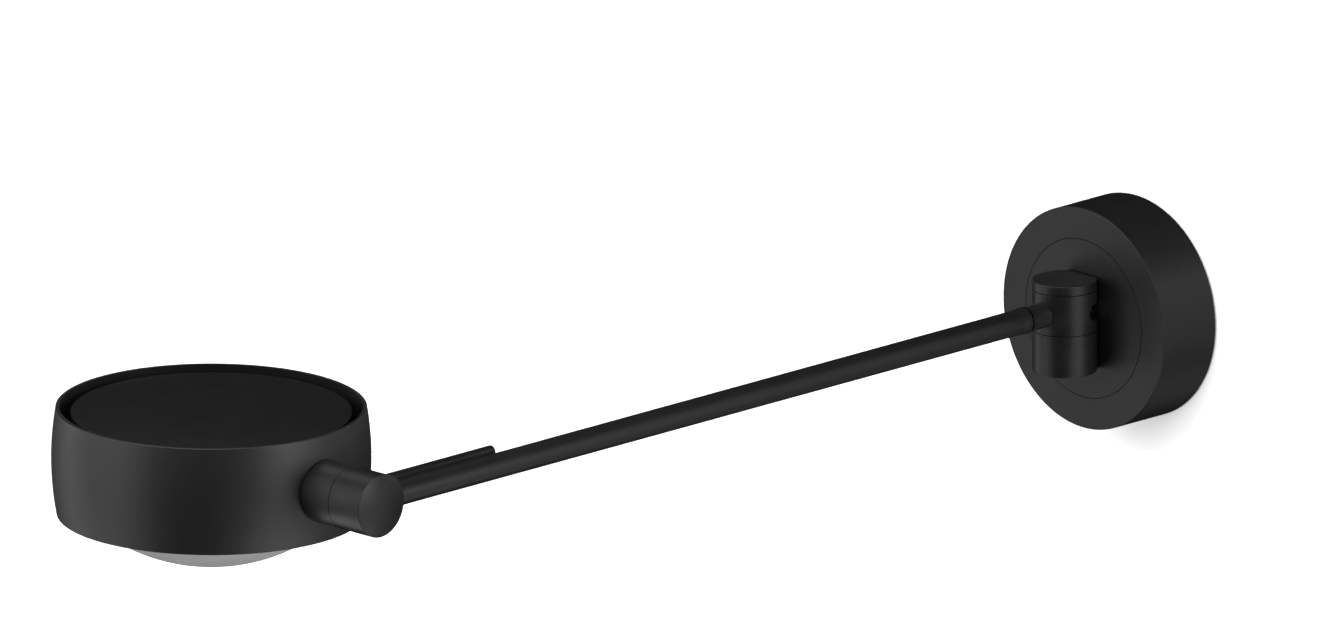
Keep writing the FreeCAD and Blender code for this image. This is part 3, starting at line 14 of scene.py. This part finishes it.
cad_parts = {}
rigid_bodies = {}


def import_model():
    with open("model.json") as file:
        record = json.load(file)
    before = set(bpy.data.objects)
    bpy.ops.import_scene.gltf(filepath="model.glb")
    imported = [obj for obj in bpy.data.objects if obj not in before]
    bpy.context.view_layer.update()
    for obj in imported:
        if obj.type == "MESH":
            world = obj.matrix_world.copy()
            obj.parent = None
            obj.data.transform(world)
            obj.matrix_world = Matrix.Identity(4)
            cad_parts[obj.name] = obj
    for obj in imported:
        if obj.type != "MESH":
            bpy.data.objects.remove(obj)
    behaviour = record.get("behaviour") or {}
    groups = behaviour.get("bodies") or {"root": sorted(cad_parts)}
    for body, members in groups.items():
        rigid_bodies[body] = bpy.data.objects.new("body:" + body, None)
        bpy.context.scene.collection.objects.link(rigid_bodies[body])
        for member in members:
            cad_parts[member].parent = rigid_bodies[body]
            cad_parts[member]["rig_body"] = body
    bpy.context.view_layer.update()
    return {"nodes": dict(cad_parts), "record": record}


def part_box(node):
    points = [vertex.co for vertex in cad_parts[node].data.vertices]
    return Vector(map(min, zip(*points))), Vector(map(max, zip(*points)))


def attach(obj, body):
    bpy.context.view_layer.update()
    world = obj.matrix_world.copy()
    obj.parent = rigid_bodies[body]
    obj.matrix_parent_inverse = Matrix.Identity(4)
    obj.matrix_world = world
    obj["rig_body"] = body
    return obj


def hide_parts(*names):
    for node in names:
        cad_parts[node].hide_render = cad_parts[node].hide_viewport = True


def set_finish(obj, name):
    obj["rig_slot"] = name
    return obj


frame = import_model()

MM = 0.001
Y_AXIS = Vector((0.0, 1.0, 0.0))
Z_AXIS = Vector((0.0, 0.0, 1.0))

# Camera: a parallel view from the right, slightly above
VIEW_AZIMUTH = math.radians(45.0)
VIEW_ELEVATION = math.radians(16.0)
VIEW_WIDTH = 518.4 * MM
VIEW_RIGHT = -178.8 * MM        # centre of the picture from the frame's origin
VIEW_UP = -1.85 * MM
VIEW_DISTANCE = 2.0

# Stage
WALL_Y = 1.0 * MM               # a hair behind the rose, so that they never share a plane
WALL_HALF = 3.0
FLOOR_Z = -0.75
FLOOR_HALF = 3.0
STAGE_COLOUR = (0.9, 0.9, 0.9, 1.0)
STAGE_ROUGHNESS = 0.9
WORLD_COLOUR = (1.0, 1.0, 1.0, 1.0)

# Lights: azimuth from +X towards +Y, elevation, width and height in degrees, distance and radiance
LIGHT_CENTRE = Vector((-40.0, -210.0, 0.0)) * MM
PART_LIGHTS = {
    "right": (8.0, 12.0, 20.0, 28.0, 2.0, 5.4),
    "right_mid": (18.0, -16.0, 60.0, 28.0, 2.0, 0.65),
    "right_low": (5.0, -47.0, 40.0, 28.0, 2.0, 2.3),
    "right_under": (75.0, -42.0, 30.0, 28.0, 0.9, 0.20),
    "right_high": (5.0, 40.0, 20.0, 28.0, 2.0, 2.3),
    "left_high": (250.0, 40.0, 40.0, 28.0, 2.0, 2.2),
    "front_high": (300.0, 40.0, 20.0, 28.0, 2.0, 2.8),
    "left": (245.0, 12.0, 36.0, 28.0, 2.0, 1.5),
    "left_mid": (246.0, -16.0, 36.0, 28.0, 2.0, 0.97),
    "left_low": (218.0, -47.0, 44.0, 28.0, 2.0, 1.4),
    "side": (200.0, 12.0, 20.0, 28.0, 2.0, 2.3),
    "side_low": (201.0, -16.0, 22.0, 28.0, 2.0, 1.2),
    "top": (180.0, 68.0, 20.0, 28.0, 2.0, 3.6),
    "zenith": (0.0, 89.9, 20.0, 28.0, 2.0, 3.0),
    "back": (75.0, 12.0, 50.0, 28.0, 2.0, 1.1),
}
WALL_WASH = (270.0, 0.0, 120.0, 110.0, 2.0, 1.66)
FLOOR_WASH = (0.0, 89.9, 120.0, 120.0, 2.0, 3.5)

# Lathed pieces
SEGMENTS = 160
CORNER_STEPS = 4                # points round each rounded corner
FINE_EDGE = 0.15 * MM           # radius of a broken edge
TINY = 0.001 * MM               # anything smaller counts as nothing
CUT_SHARE = 0.45                # the most of a side that one rounded corner takes up
NEARLY_STRAIGHT = math.radians(170.0)
SHARP_ANGLE = math.radians(35.0)
TUBE_BORE = 4.0 * MM
COLLAR_RECESS_R = 4.75 * MM
COLLAR_RECESS = 2.3 * MM
COLLAR_SPIGOT_R = 3.98 * MM
COLLAR_BORE_R = 3.32 * MM
LEVER_SPIGOT_R = 1.5 * MM
LEVER_SPIGOT = 3.4 * MM
LEVER_TIP = 0.6 * MM
TOP_DISC_EDGE = 0.4 * MM

# Materials. Slot: darkest and lightest colour, metallic, roughness, its spread, size and height
# of the grain in millimetres, size and height of the slow waves, and how far edges wear.
FINISHES = {
    "black_coat": ((0.0085, 0.0085, 0.0086), (0.0100, 0.0100, 0.0101), 0.0, 0.41, 0.012,
                   0.45, 0.0020, 3.0, 0.002, 0.25),
    "satin_coat": ((0.0080, 0.0080, 0.0081), (0.0095, 0.0095, 0.0096), 0.0, 0.48, 0.012,
                   0.45, 0.0015, 3.0, 0.002, 0.25),
    "black_grain": ((0.0075, 0.0075, 0.0076), (0.0106, 0.0106, 0.0107), 0.0, 0.42, 0.04,
                    0.60, 0.0070, 2.4, 0.004, 0.25),
    "blackened_steel": ((0.010, 0.010, 0.011), (0.020, 0.020, 0.021), 0.4, 0.46, 0.06,
                        0.25, 0.0020, 1.5, 0.002, 0.50),
    "zinc_steel": ((0.46, 0.47, 0.49), (0.62, 0.63, 0.65), 1.0, 0.34, 0.10,
                   0.30, 0.0015, 6.0, 0.004, 0.30),
    "brass": ((0.62, 0.44, 0.19), (0.76, 0.57, 0.28), 1.0, 0.28, 0.08, 0.20, 0.0010, 3.0, 0.002, 0.40),
    "bearing_plastic": ((0.68, 0.66, 0.59), (0.75, 0.73, 0.68), 0.0, 0.48, 0.05,
                        0.40, 0.0020, 5.0, 0.006, 0.20),
    "aluminium": ((0.56, 0.57, 0.58), (0.66, 0.67, 0.68), 1.0, 0.36, 0.08, 0.25, 0.0020, 4.0, 0.003, 0.35),
    "black_anodised": ((0.018, 0.018, 0.019), (0.028, 0.028, 0.029), 0.3, 0.55, 0.05,
                       0.30, 0.0030, 4.0, 0.003, 0.20),
    "reflector_metal": ((0.78, 0.78, 0.78), (0.86, 0.86, 0.86), 1.0, 0.22, 0.05,
                        0.60, 0.0020, 8.0, 0.006, 0.20),
    "seal_rubber": ((0.020, 0.020, 0.020), (0.032, 0.032, 0.032), 0.0, 0.70, 0.08,
                    0.50, 0.0060, 4.0, 0.010, 0.20),
    "case_plastic": ((0.80, 0.80, 0.77), (0.87, 0.87, 0.85), 0.0, 0.46, 0.06,
                     0.55, 0.0050, 9.0, 0.010, 0.15),
    "board": ((0.74, 0.77, 0.72), (0.88, 0.89, 0.87), 0.0, 0.38, 0.08, 1.20, 0.0080, 6.0, 0.004, 0.30),
    "lead_sheath": ((0.030, 0.030, 0.030), (0.045, 0.045, 0.045), 0.0, 0.42, 0.06,
                    0.60, 0.0020, 7.0, 0.015, 0.15),
}
FINISH_OF = {"head_shell": "satin_coat"}        # where it differs from the record's slot
SHINE = {"satin_coat": 0.75}                    # strength of the reflections
PLAIN_SHINE = 0.5                               # the same where it isn't listed
WEAR_RADIUS = 0.12 * MM
WEAR_SAMPLES = 4
WEAR_PATCH = 2.5                # size of worn patches, millimetres
WEAR_LIGHTER = 2.2              # how much lighter a bare edge is
MOTTLE = 14.0                   # size of the colour patches, millimetres
PATCH_DETAIL = 3.0              # finer noise layers within them
PATCH_EDGES = (0.35, 0.65)      # noise values between which a colour patch fades in
GLOSS_EDGES = (0.3, 0.7)        # the same for uneven gloss
WEAR_EDGES = (0.45, 0.62)       # the same for worn patches
EDGE_MATCH = (0.98, 0.80)       # agreement of true and softened normals, off an edge and on it

# Lens
LENS_DARK = (0.83, 0.83, 0.83)
LENS_LIGHT = (0.86, 0.86, 0.86)
LENS_ROUGHNESS = (0.34, 0.44)
LENS_SOAK = 0.25                # share of the light that goes into the opal
LENS_DEPTH = 2.0 * MM           # how deep it goes
LENS_RING = 2.2 * MM            # spacing of the moulded rings
LENS_RING_HEIGHT = 0.004        # millimetres
# Painted shade: the lens colour darkens in bands along the moulded rings
LENS_RING_PAINTED_SHADE = 0.7           # colour of the painted ring shade against LENS_DARK
LENS_RING_PAINTED_SHADE_STRENGTH = 0.10
LENS_GRAIN = (0.5, 0.0015)      # size and height, millimetres

# From the record
slot_of = {part["node"]: part["material_slot"] for part in frame["record"]["subparts"]}


# ---------------------------------------------------------------- camera, stage and light

def view_axes():
    """Right, up and towards-the-camera directions of the picture."""
    back = Vector((math.sin(VIEW_AZIMUTH) * math.cos(VIEW_ELEVATION),
                   -math.cos(VIEW_AZIMUTH) * math.cos(VIEW_ELEVATION),
                   math.sin(VIEW_ELEVATION)))
    right = Vector((math.cos(VIEW_AZIMUTH), math.sin(VIEW_AZIMUTH), 0.0))
    return right, back.cross(right), back


def make_camera():
    right, up, back = view_axes()
    data = bpy.data.cameras.new("camera")
    data.type = "ORTHO"
    data.ortho_scale = VIEW_WIDTH
    camera = bpy.data.objects.new("camera", data)
    bpy.context.scene.collection.objects.link(camera)
    camera.location = right * VIEW_RIGHT + up * VIEW_UP + back * VIEW_DISTANCE
    camera.rotation_mode = "QUATERNION"
    camera.rotation_quaternion = (-back).to_track_quat("-Z", "Y")
    bpy.context.scene.camera = camera


def sheet(name, corners, material):
    """Flat four-cornered stage piece."""
    mesh = bpy.data.meshes.new(name)
    mesh.from_pydata(corners, [], [(0, 1, 2, 3)])
    mesh.materials.append(material)
    item = bpy.data.objects.new(name, mesh)
    bpy.context.scene.collection.objects.link(item)
    return item


def stage_material(name):
    """Matt white paint with a see-through back, so that the part shows from behind and below."""
    material = bpy.data.materials.new(name)
    material.use_nodes = True
    nodes, links = material.node_tree.nodes, material.node_tree.links
    shader = nodes["Principled BSDF"]
    shader.inputs["Base Color"].default_value = STAGE_COLOUR
    shader.inputs["Roughness"].default_value = STAGE_ROUGHNESS
    shader.inputs["Specular IOR Level"].default_value = 0.0
    clear = nodes.new("ShaderNodeBsdfTransparent")
    side = nodes.new("ShaderNodeNewGeometry")
    mix = nodes.new("ShaderNodeMixShader")
    links.new(side.outputs["Backfacing"], mix.inputs["Fac"])
    links.new(shader.outputs["BSDF"], mix.inputs[1])
    links.new(clear.outputs["BSDF"], mix.inputs[2])
    links.new(mix.outputs["Shader"], nodes["Material Output"].inputs["Surface"])
    return material


def make_stage():
    w = WALL_HALF
    wall = sheet("wall", [(-w, WALL_Y, FLOOR_Z), (w, WALL_Y, FLOOR_Z), (w, WALL_Y, w), (-w, WALL_Y, w)],
                 stage_material("wall_paint"))
    f = FLOOR_HALF
    floor = sheet("floor", [(-f, -f, FLOOR_Z), (f, -f, FLOOR_Z), (f, f, FLOOR_Z), (-f, f, FLOOR_Z)],
                  stage_material("floor_paint"))
    for item in (wall, floor):
        item.visible_diffuse = False
        item.visible_glossy = False
        item.visible_shadow = False
    return [wall, floor]


def make_world():
    """White surroundings for the camera alone; the soft boxes do all the lighting."""
    world = bpy.data.worlds.new("studio")
    bpy.context.scene.world = world
    world.use_nodes = True
    background = world.node_tree.nodes["Background"]
    background.inputs["Color"].default_value = WORLD_COLOUR
    world.cycles_visibility.diffuse = False
    world.cycles_visibility.glossy = False


def soft_box(name, azimuth, elevation, across, tall, distance, radiance, lit):
    """Flat light in a direction from LIGHT_CENTRE, in degrees from +X towards +Y and upwards.
    Its width and height are the angles that it fills. It lights one collection only."""
    turn, rise = math.radians(azimuth), math.radians(elevation)
    outward = Vector((math.cos(turn) * math.cos(rise), math.sin(turn) * math.cos(rise), math.sin(rise)))
    data = bpy.data.lights.new(name, "AREA")
    data.shape = "RECTANGLE"
    data.size = 2 * distance * math.tan(math.radians(across / 2))
    data.size_y = 2 * distance * math.tan(math.radians(tall / 2))
    data.energy = radiance * math.pi * data.size * data.size_y
    light = bpy.data.objects.new(name, data)
    bpy.context.scene.collection.objects.link(light)
    light.location = LIGHT_CENTRE + outward * distance
    light.rotation_mode = "QUATERNION"
    light.rotation_quaternion = (-outward).to_track_quat("-Z", "Y")
    light.visible_camera = False
    light.light_linking.receiver_collection = lit


def collection_of(name, items):
    """Collection that only says which objects a light reaches."""
    group = bpy.data.collections.new(name)
    for item in items:
        group.objects.link(item)
    return group


def make_lights(part_items, stage_items):
    """Studio lights for the part, and two broad lights that wash the wall and floor to white."""
    part = collection_of("part", part_items)
    stage = collection_of("stage", stage_items)
    for name, setting in PART_LIGHTS.items():
        soft_box(name, *setting, part)
    soft_box("wall_wash", *WALL_WASH, stage)
    soft_box("floor_wash", *FLOOR_WASH, stage)


# ---------------------------------------------------------------- lathed pieces

def rounded_corners(points, radius):
    """Closed (radius, height) outline with each corner turned into a small arc. A point with a
    third value uses that radius instead; zero keeps the corner sharp."""
    flat = []
    count = len(points)
    for index, point in enumerate(points):
        corner = Vector(point[:2])
        before = Vector(points[index - 1][:2]) - corner
        after = Vector(points[(index + 1) % count][:2]) - corner
        wanted = point[2] if len(point) == 3 else radius
        opening = before.angle(after)
        most = CUT_SHARE * min(before.length, after.length)
        cut = min(wanted / math.tan(opening / 2), most)
        if cut < TINY or opening > NEARLY_STRAIGHT:
            flat.append(corner)
            continue
        arc_r = cut * math.tan(opening / 2)
        middle = (before.normalized() + after.normalized()).normalized()
        centre = corner + middle * math.hypot(cut, arc_r)
        start = corner + before.normalized() * cut - centre
        turn = before.normalized() * cut - after.normalized() * cut
        sweep = math.pi - opening
        sign = 1.0 if start.x * -turn.y - start.y * -turn.x > 0 else -1.0
        for step in range(CORNER_STEPS + 1):
            angle = sign * sweep * step / CORNER_STEPS
            flat.append(centre + Vector((start.x * math.cos(angle) - start.y * math.sin(angle),
                                         start.x * math.sin(angle) + start.y * math.cos(angle))))
    return flat


def lathe(name, outline, centre, axis):
    """Closed body of revolution of a (radius, height) outline about an axis through centre."""
    turn_axis = Z_AXIS.rotation_difference(axis)
    verts, faces, rings = [], [], []
    for radius, height in outline:
        if radius < TINY:
            rings.append([len(verts)])
            verts.append(Vector((0.0, 0.0, height)))
            continue
        rings.append(list(range(len(verts), len(verts) + SEGMENTS)))
        for step in range(SEGMENTS):
            angle = 2 * math.pi * step / SEGMENTS
            verts.append(Vector((radius * math.cos(angle), radius * math.sin(angle), height)))
    for index, ring in enumerate(rings):
        other = rings[(index + 1) % len(rings)]
        if len(ring) == 1 and len(other) == 1:
            continue
        for step in range(SEGMENTS):
            after = (step + 1) % SEGMENTS
            if len(ring) == 1:
                faces.append((ring[0], other[after], other[step]))
            elif len(other) == 1:
                faces.append((ring[step], ring[after], other[0]))
            else:
                faces.append((ring[step], ring[after], other[after], other[step]))
    place = Matrix.Translation(centre) @ turn_axis.to_matrix().to_4x4()
    mesh = bpy.data.meshes.new(name)
    mesh.from_pydata([place @ v for v in verts], [], faces)
    mesh.update()
    mesh.shade_smooth()
    mesh.set_sharp_from_angle(angle=SHARP_ANGLE)
    item = bpy.data.objects.new(name, mesh)
    bpy.context.scene.collection.objects.link(item)
    return item


def stand_in(item, node):
    """Shows a lathed piece in place of a CAD node, on the same body and material slot."""
    item.data.materials.append(None)
    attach(item, frame["nodes"][node]["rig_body"])
    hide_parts(node)
    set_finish(item, slot_of[node])
    return item


def axis_outline(node, bore, start_corner, end_corner):
    """Outline of a plain tube along Y: its radius, start and end come from the CAD node."""
    low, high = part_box(node)
    outer = (high.x - low.x) / 2
    length = high.y - low.y
    return [(bore, 0.0), (outer, 0.0, start_corner), (outer, length, end_corner), (bore, length)]


def make_tube():
    low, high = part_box("arm_tube")
    outline = axis_outline("arm_tube", TUBE_BORE, 0.0, FINE_EDGE)
    centre = Vector((0.0, high.y, (low.z + high.z) / 2))
    return stand_in(lathe("tube", rounded_corners(outline, FINE_EDGE), centre, -Y_AXIS), "arm_tube")


def make_collar():
    """Flared collar. Its mouth has a full ring recess, so the stop pin stays clear as it rolls."""
    low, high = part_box("arm_collar")
    mouth = (high.x - low.x) / 2
    tube_low, tube_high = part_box("arm_tube")
    tube_r = (tube_high.x - tube_low.x) / 2
    flare = high.y - tube_high.y
    length = high.y - low.y
    outline = [(COLLAR_RECESS_R, 0.0), (mouth, 0.0), (tube_r, flare, 0.0), (COLLAR_SPIGOT_R, flare, 0.0),
               (COLLAR_SPIGOT_R, length), (COLLAR_BORE_R, length), (COLLAR_BORE_R, COLLAR_RECESS),
               (COLLAR_RECESS_R, COLLAR_RECESS)]
    centre = Vector((0.0, high.y, (low.z + high.z) / 2))
    return stand_in(lathe("collar", rounded_corners(outline, FINE_EDGE), centre, -Y_AXIS), "arm_collar")


def make_lever():
    """Grip bar with a rounded tip and a thin spigot at its fixed end."""
    low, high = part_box("tilt_lever")
    radius = (high.x - low.x) / 2
    length = high.y - low.y
    outline = [(0.0, 0.0, 0.0), (LEVER_SPIGOT_R, 0.0), (LEVER_SPIGOT_R, LEVER_SPIGOT, 0.0),
               (radius, LEVER_SPIGOT), (radius, length, LEVER_TIP), (0.0, length, 0.0)]
    centre = Vector(((low.x + high.x) / 2, low.y, (low.z + high.z) / 2))
    return stand_in(lathe("lever", rounded_corners(outline, FINE_EDGE), centre, Y_AXIS), "tilt_lever")


def make_top_disc():
    """Flat disc with a rounded edge."""
    low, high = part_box("top_disc")
    radius = (high.x - low.x) / 2
    thickness = high.z - low.z
    outline = [(0.0, 0.0, 0.0), (radius, 0.0), (radius, thickness, TOP_DISC_EDGE), (0.0, thickness, 0.0)]
    centre = Vector(((low.x + high.x) / 2, (low.y + high.y) / 2, low.z))
    return stand_in(lathe("disc", rounded_corners(outline, FINE_EDGE), centre, Z_AXIS), "top_disc")


# ---------------------------------------------------------------- materials

class Look:
    """A material being built, with its Principled shader and short calls for the usual nodes."""

    def __init__(self, name):
        self.material = bpy.data.materials.new(name)
        self.material.use_nodes = True
        self.tree = self.material.node_tree
        self.shader = self.tree.nodes["Principled BSDF"]
        self.place = self.tree.nodes.new("ShaderNodeTexCoord").outputs["Object"]

    def node(self, kind, **settings):
        made = self.tree.nodes.new(kind)
        for key, value in settings.items():
            setattr(made, key, value)
        return made

    def feed(self, socket, source):
        """Links an output to a socket, or sets the socket to a plain value."""
        if isinstance(source, bpy.types.NodeSocket):
            self.tree.links.new(source, socket)
        else:
            socket.default_value = source

    def noise(self, size, detail=2.0):
        """Noise whose patches are about this many millimetres wide."""
        made = self.node("ShaderNodeTexNoise")
        self.feed(made.inputs["Vector"], self.place)
        made.inputs["Scale"].default_value = 1.0 / (size * MM)
        made.inputs["Detail"].default_value = detail
        return made.outputs["Fac"]

    def spread(self, source, source_low, source_high, low, high):
        """Value stretched from one range to another and held inside it."""
        made = self.node("ShaderNodeMapRange")
        self.feed(made.inputs["Value"], source)
        for socket, value in (("From Min", source_low), ("From Max", source_high),
                              ("To Min", low), ("To Max", high)):
            made.inputs[socket].default_value = value
        return made.outputs["Result"]

    def blend(self, factor, first, second):
        """Colour between two colours."""
        made = self.node("ShaderNodeMix", data_type="RGBA")
        self.feed(made.inputs["Factor"], factor)
        self.feed(made.inputs["A"], first)
        self.feed(made.inputs["B"], second)
        return next(s for s in made.outputs if s.type == "RGBA")

    def maths(self, operation, first, second):
        made = self.node("ShaderNodeMath", operation=operation)
        self.feed(made.inputs[0], first)
        self.feed(made.inputs[1], second)
        return made.outputs["Value"]

    def bump(self, height, distance, normal):
        """Surface relief of this many millimetres."""
        made = self.node("ShaderNodeBump")
        self.feed(made.inputs["Height"], height)
        made.inputs["Distance"].default_value = distance * MM
        self.feed(made.inputs["Normal"], normal)
        return made.outputs["Normal"]

    def edges(self):
        """Softened normal at edges, and a mask that is 1 on an edge and 0 away from it."""
        soft = self.node("ShaderNodeBevel", samples=WEAR_SAMPLES)
        soft.inputs["Radius"].default_value = WEAR_RADIUS
        true = self.node("ShaderNodeNewGeometry").outputs["Normal"]
        match = self.node("ShaderNodeVectorMath", operation="DOT_PRODUCT")
        self.feed(match.inputs[0], soft.outputs["Normal"])
        self.feed(match.inputs[1], true)
        return soft.outputs["Normal"], self.spread(match.outputs["Value"], *EDGE_MATCH, 0.0, 1.0)


def rgba(colour, gain=1.0):
    return tuple(min(1.0, channel * gain) for channel in colour) + (1.0,)


def finish(slot, dark, light, metallic, roughness, roughness_spread, grain_size, grain_height,
           wave_size, wave_height, wear):
    """Coat, metal or plastic with slow colour patches, uneven gloss, two scales of relief and
    edges that are worn in patches."""
    look = Look(slot + "_look")
    patches = look.noise(MOTTLE, PATCH_DETAIL)
    colour = look.blend(look.spread(patches, *PATCH_EDGES, 0.0, 1.0), rgba(dark), rgba(light))
    normal, edge = look.edges()
    worn = look.maths("MULTIPLY", edge, look.spread(look.noise(WEAR_PATCH), *WEAR_EDGES, 0.0, wear))
    colour = look.blend(worn, colour, rgba(light, WEAR_LIGHTER))
    look.feed(look.shader.inputs["Base Color"], colour)
    gloss = look.spread(look.noise(MOTTLE / 2), *GLOSS_EDGES,
                        roughness - roughness_spread, roughness + roughness_spread)
    look.feed(look.shader.inputs["Roughness"], gloss)
    look.shader.inputs["Metallic"].default_value = metallic
    look.shader.inputs["Specular IOR Level"].default_value = SHINE.get(slot, PLAIN_SHINE)
    normal = look.bump(look.noise(wave_size), wave_height, normal)
    normal = look.bump(look.noise(grain_size), grain_height, normal)
    look.feed(look.shader.inputs["Normal"], normal)
    return look.material


def opal():
    """Satin opal lens with faint moulded rings about the head's axis, and painted shade in bands along the
    rings.
    """
    look = Look("lens_opal_look")
    low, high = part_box("lens")
    centre = look.node("ShaderNodeVectorMath", operation="SUBTRACT")
    look.feed(centre.inputs[0], look.place)
    centre.inputs[1].default_value = ((low.x + high.x) / 2, (low.y + high.y) / 2, 0.0)
    flat = look.node("ShaderNodeVectorMath", operation="MULTIPLY")
    look.feed(flat.inputs[0], centre.outputs["Vector"])
    flat.inputs[1].default_value = (1.0, 1.0, 0.0)
    radius = look.node("ShaderNodeVectorMath", operation="LENGTH")
    look.feed(radius.inputs[0], flat.outputs["Vector"])
    turns = look.maths("MULTIPLY", radius.outputs["Value"], 2 * math.pi / LENS_RING)
    ring = look.spread(look.maths("SINE", turns, 0.0), -1.0, 1.0, 0.0, 1.0)
    cloud = look.spread(look.noise(MOTTLE, PATCH_DETAIL), *PATCH_EDGES, 0.0, 1.0)
    colour = look.blend(cloud, rgba(LENS_DARK), rgba(LENS_LIGHT))
    # painted shade: the lens colour darkens in bands along the rings
    colour = look.blend(look.spread(ring, 0.0, 1.0, 0.0, LENS_RING_PAINTED_SHADE_STRENGTH), colour,
                        rgba(LENS_DARK, LENS_RING_PAINTED_SHADE))
    look.feed(look.shader.inputs["Base Color"], colour)
    gloss = look.spread(look.noise(MOTTLE / 2), *GLOSS_EDGES, *LENS_ROUGHNESS)
    look.feed(look.shader.inputs["Roughness"], gloss)
    look.shader.inputs["Subsurface Weight"].default_value = LENS_SOAK
    look.shader.inputs["Subsurface Scale"].default_value = LENS_DEPTH
    normal, _ = look.edges()
    normal = look.bump(ring, LENS_RING_HEIGHT, normal)
    grain_size, grain_height = LENS_GRAIN
    normal = look.bump(look.noise(grain_size), grain_height, normal)
    look.feed(look.shader.inputs["Normal"], normal)
    return look.material


# ---------------------------------------------------------------- scene

make_camera()
stage_items = make_stage()
make_world()
new_pieces = [make_tube(), make_collar(), make_lever(), make_top_disc()]
part_items = list(frame["nodes"].values()) + new_pieces
make_lights(part_items, stage_items)
bpy.context.scene.view_settings.view_transform = "Standard"

looks = {slot: finish(slot, *values) for slot, values in FINISHES.items()}
looks["lens_opal"] = opal()
for name, node in frame["nodes"].items():
    node.material_slots[0].material = looks[FINISH_OF.get(name, slot_of[name])]
for piece in new_pieces:
    piece.material_slots[0].material = looks[piece["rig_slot"]]
